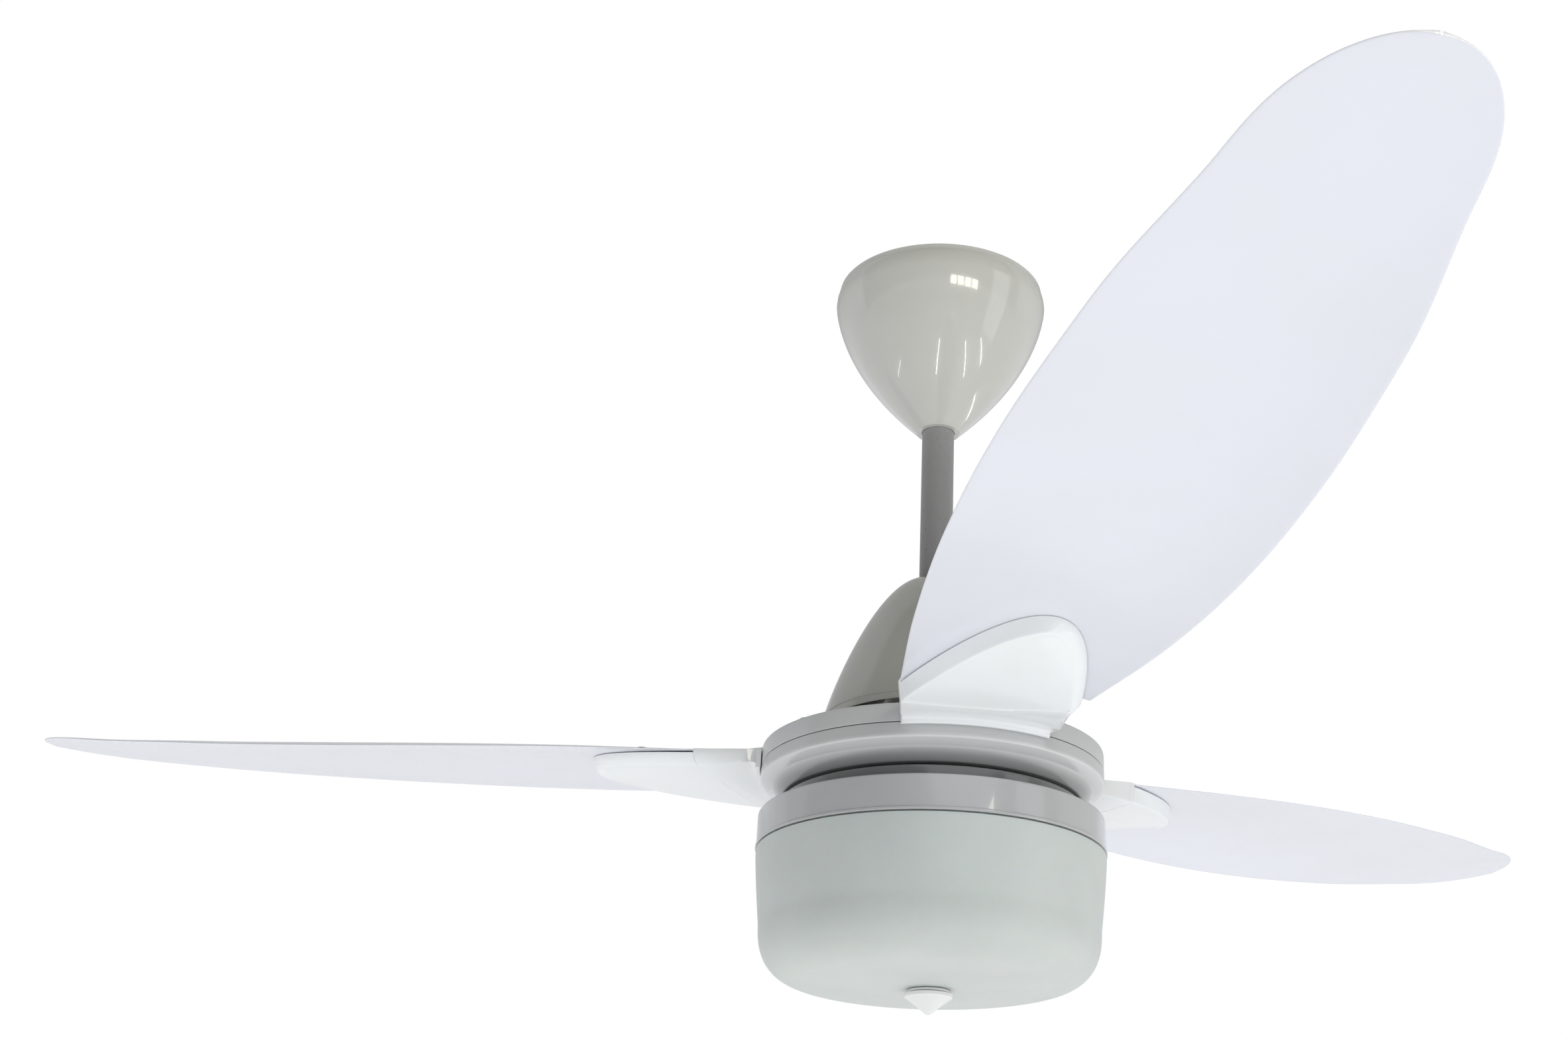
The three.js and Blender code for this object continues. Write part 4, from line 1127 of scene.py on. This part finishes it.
def lamps():
    """Two alike lamps in their holders, which point past each other."""
    here = shift(0, 30, level(-88)) @ LIE_X
    for letter, turn in (("a", Matrix()), ("b", HALF_TURN)):
        for name, mesh, look, node, slot in (
                ("socket", lampholder(), "white_fitting", "lampholder", "white_fitting"),
                ("lamp_cap", lamp_cap(), "bright_steel", "bulb", "lamp_opal"),
                ("lamp_globe", lamp_globe(), "lamp_opal", "bulb", "lamp_opal")):
            placed = moved(mesh, turn @ here)
            show(f"{name}_{letter}", placed, look, "hanging_frame", f"{node}_{letter}", slot=slot)


def glass_line(inset):
    """The shade's wall from its shoulder to the middle of its floor."""
    rim, rim_level, waist, waist_level = 95.7, -57.7, 92.3, -98
    foot, corner, power = -127.1, 26, 2.43
    drop = waist_level - foot
    top = rim_level - (2 if inset else 0)
    line = []
    for k in range(13):
        z = top + (waist_level - top) * k / 12
        share = (z - rim_level) / (waist_level - rim_level)
        line.append((rim + (waist - rim) * share**1.3 - inset, z))
    for k in range(1, 25):
        fall = math.sin(k / 25 * math.pi / 2)
        reach = corner * (1 - fall**power) ** (1 / power)
        r = waist - corner + reach - inset * (1 - 0.4 * k / 25)
        line.append((r, waist_level - drop * fall + inset * k / 25))
    for r in (58, 48, 38, 28, 18, 11):
        line.append((r, foot - 2.1 * (1 - (r / 66) ** 2) + inset))
    return line


def glass_shade():
    wall, bore, floor = 3.2, 4.2, -129.2
    outside = [(92.8, -41.8), (92.8, -57.2), (93.2, -57.5), (95.1, -57.5), (95.6, -57.9)] + glass_line(0)[1:]
    inside = glass_line(wall)[::-1] + [(89.6, -58.6), (89.6, -41.8)]
    mesh = turned("frosted_shade", raised(outside + [(bore, floor), (bore, floor + wall)] + inside))
    show("frosted_shade", mesh, "frosted_glass", "glass_light", "glass_shade", sharp=50)
    seal = ring(89.9, 92.5, level(-41.5), level(-39.5), 0.7, ROUND)
    show("glass_seal", seal, "rubber", "glass_light", "glass_gasket")


def finial():
    top = -131.2
    profile = [(0, top - 11), (1.2, top - 10.9), (3.2, top - 9.3), (6.6, top - 6.6), (10.2, top - 4, 1),
               (11.4, top - 3, 1), (12.9, top - 2.2, 0.8), (12.9, top - 0.2, 0.6), (3.9, top, 0.3),
               (3.9, -138.3), (0, -138.3)]
    mesh = turned("finial_knob", fillet(raised(profile), closed=False), closed=False, facets=FINE)
    show("finial_knob", mesh, "finial_white", "glass_light", "finial")
    washer = ring(3.9, 11.2, level(-130.9), level(-129.5), 0.5)
    show("finial_seat", washer, "finial_white", "glass_light", "finial_washer")


# ---- build ---------------------------------------------------------------------------

bpy.context.scene.view_settings.view_transform = "Standard"
make_camera()
make_world()
make_stage()

hanger_bracket()
pivot_bolt()
split_pin()
terminals()
canopy("upper_canopy", UPPER)
canopy("lower_canopy", LOWER)
rod()
shaft()
coupling()
bearing("bearing_upper", 0.6, "rotor")
bearing("bearing_lower", -25.7, "rotor")
stator_core()
winding("winding_upper", -2.7, 3.4)
winding("winding_lower", -15.3, -21.4)
rotor_cage()
upper_shell()
lower_shell()
shell_screws()
blade_sets()
light_pan()
pan_nut()
lamp_bracket()
capacitor()
glass_stud()
lamps()
glass_shade()
finial()
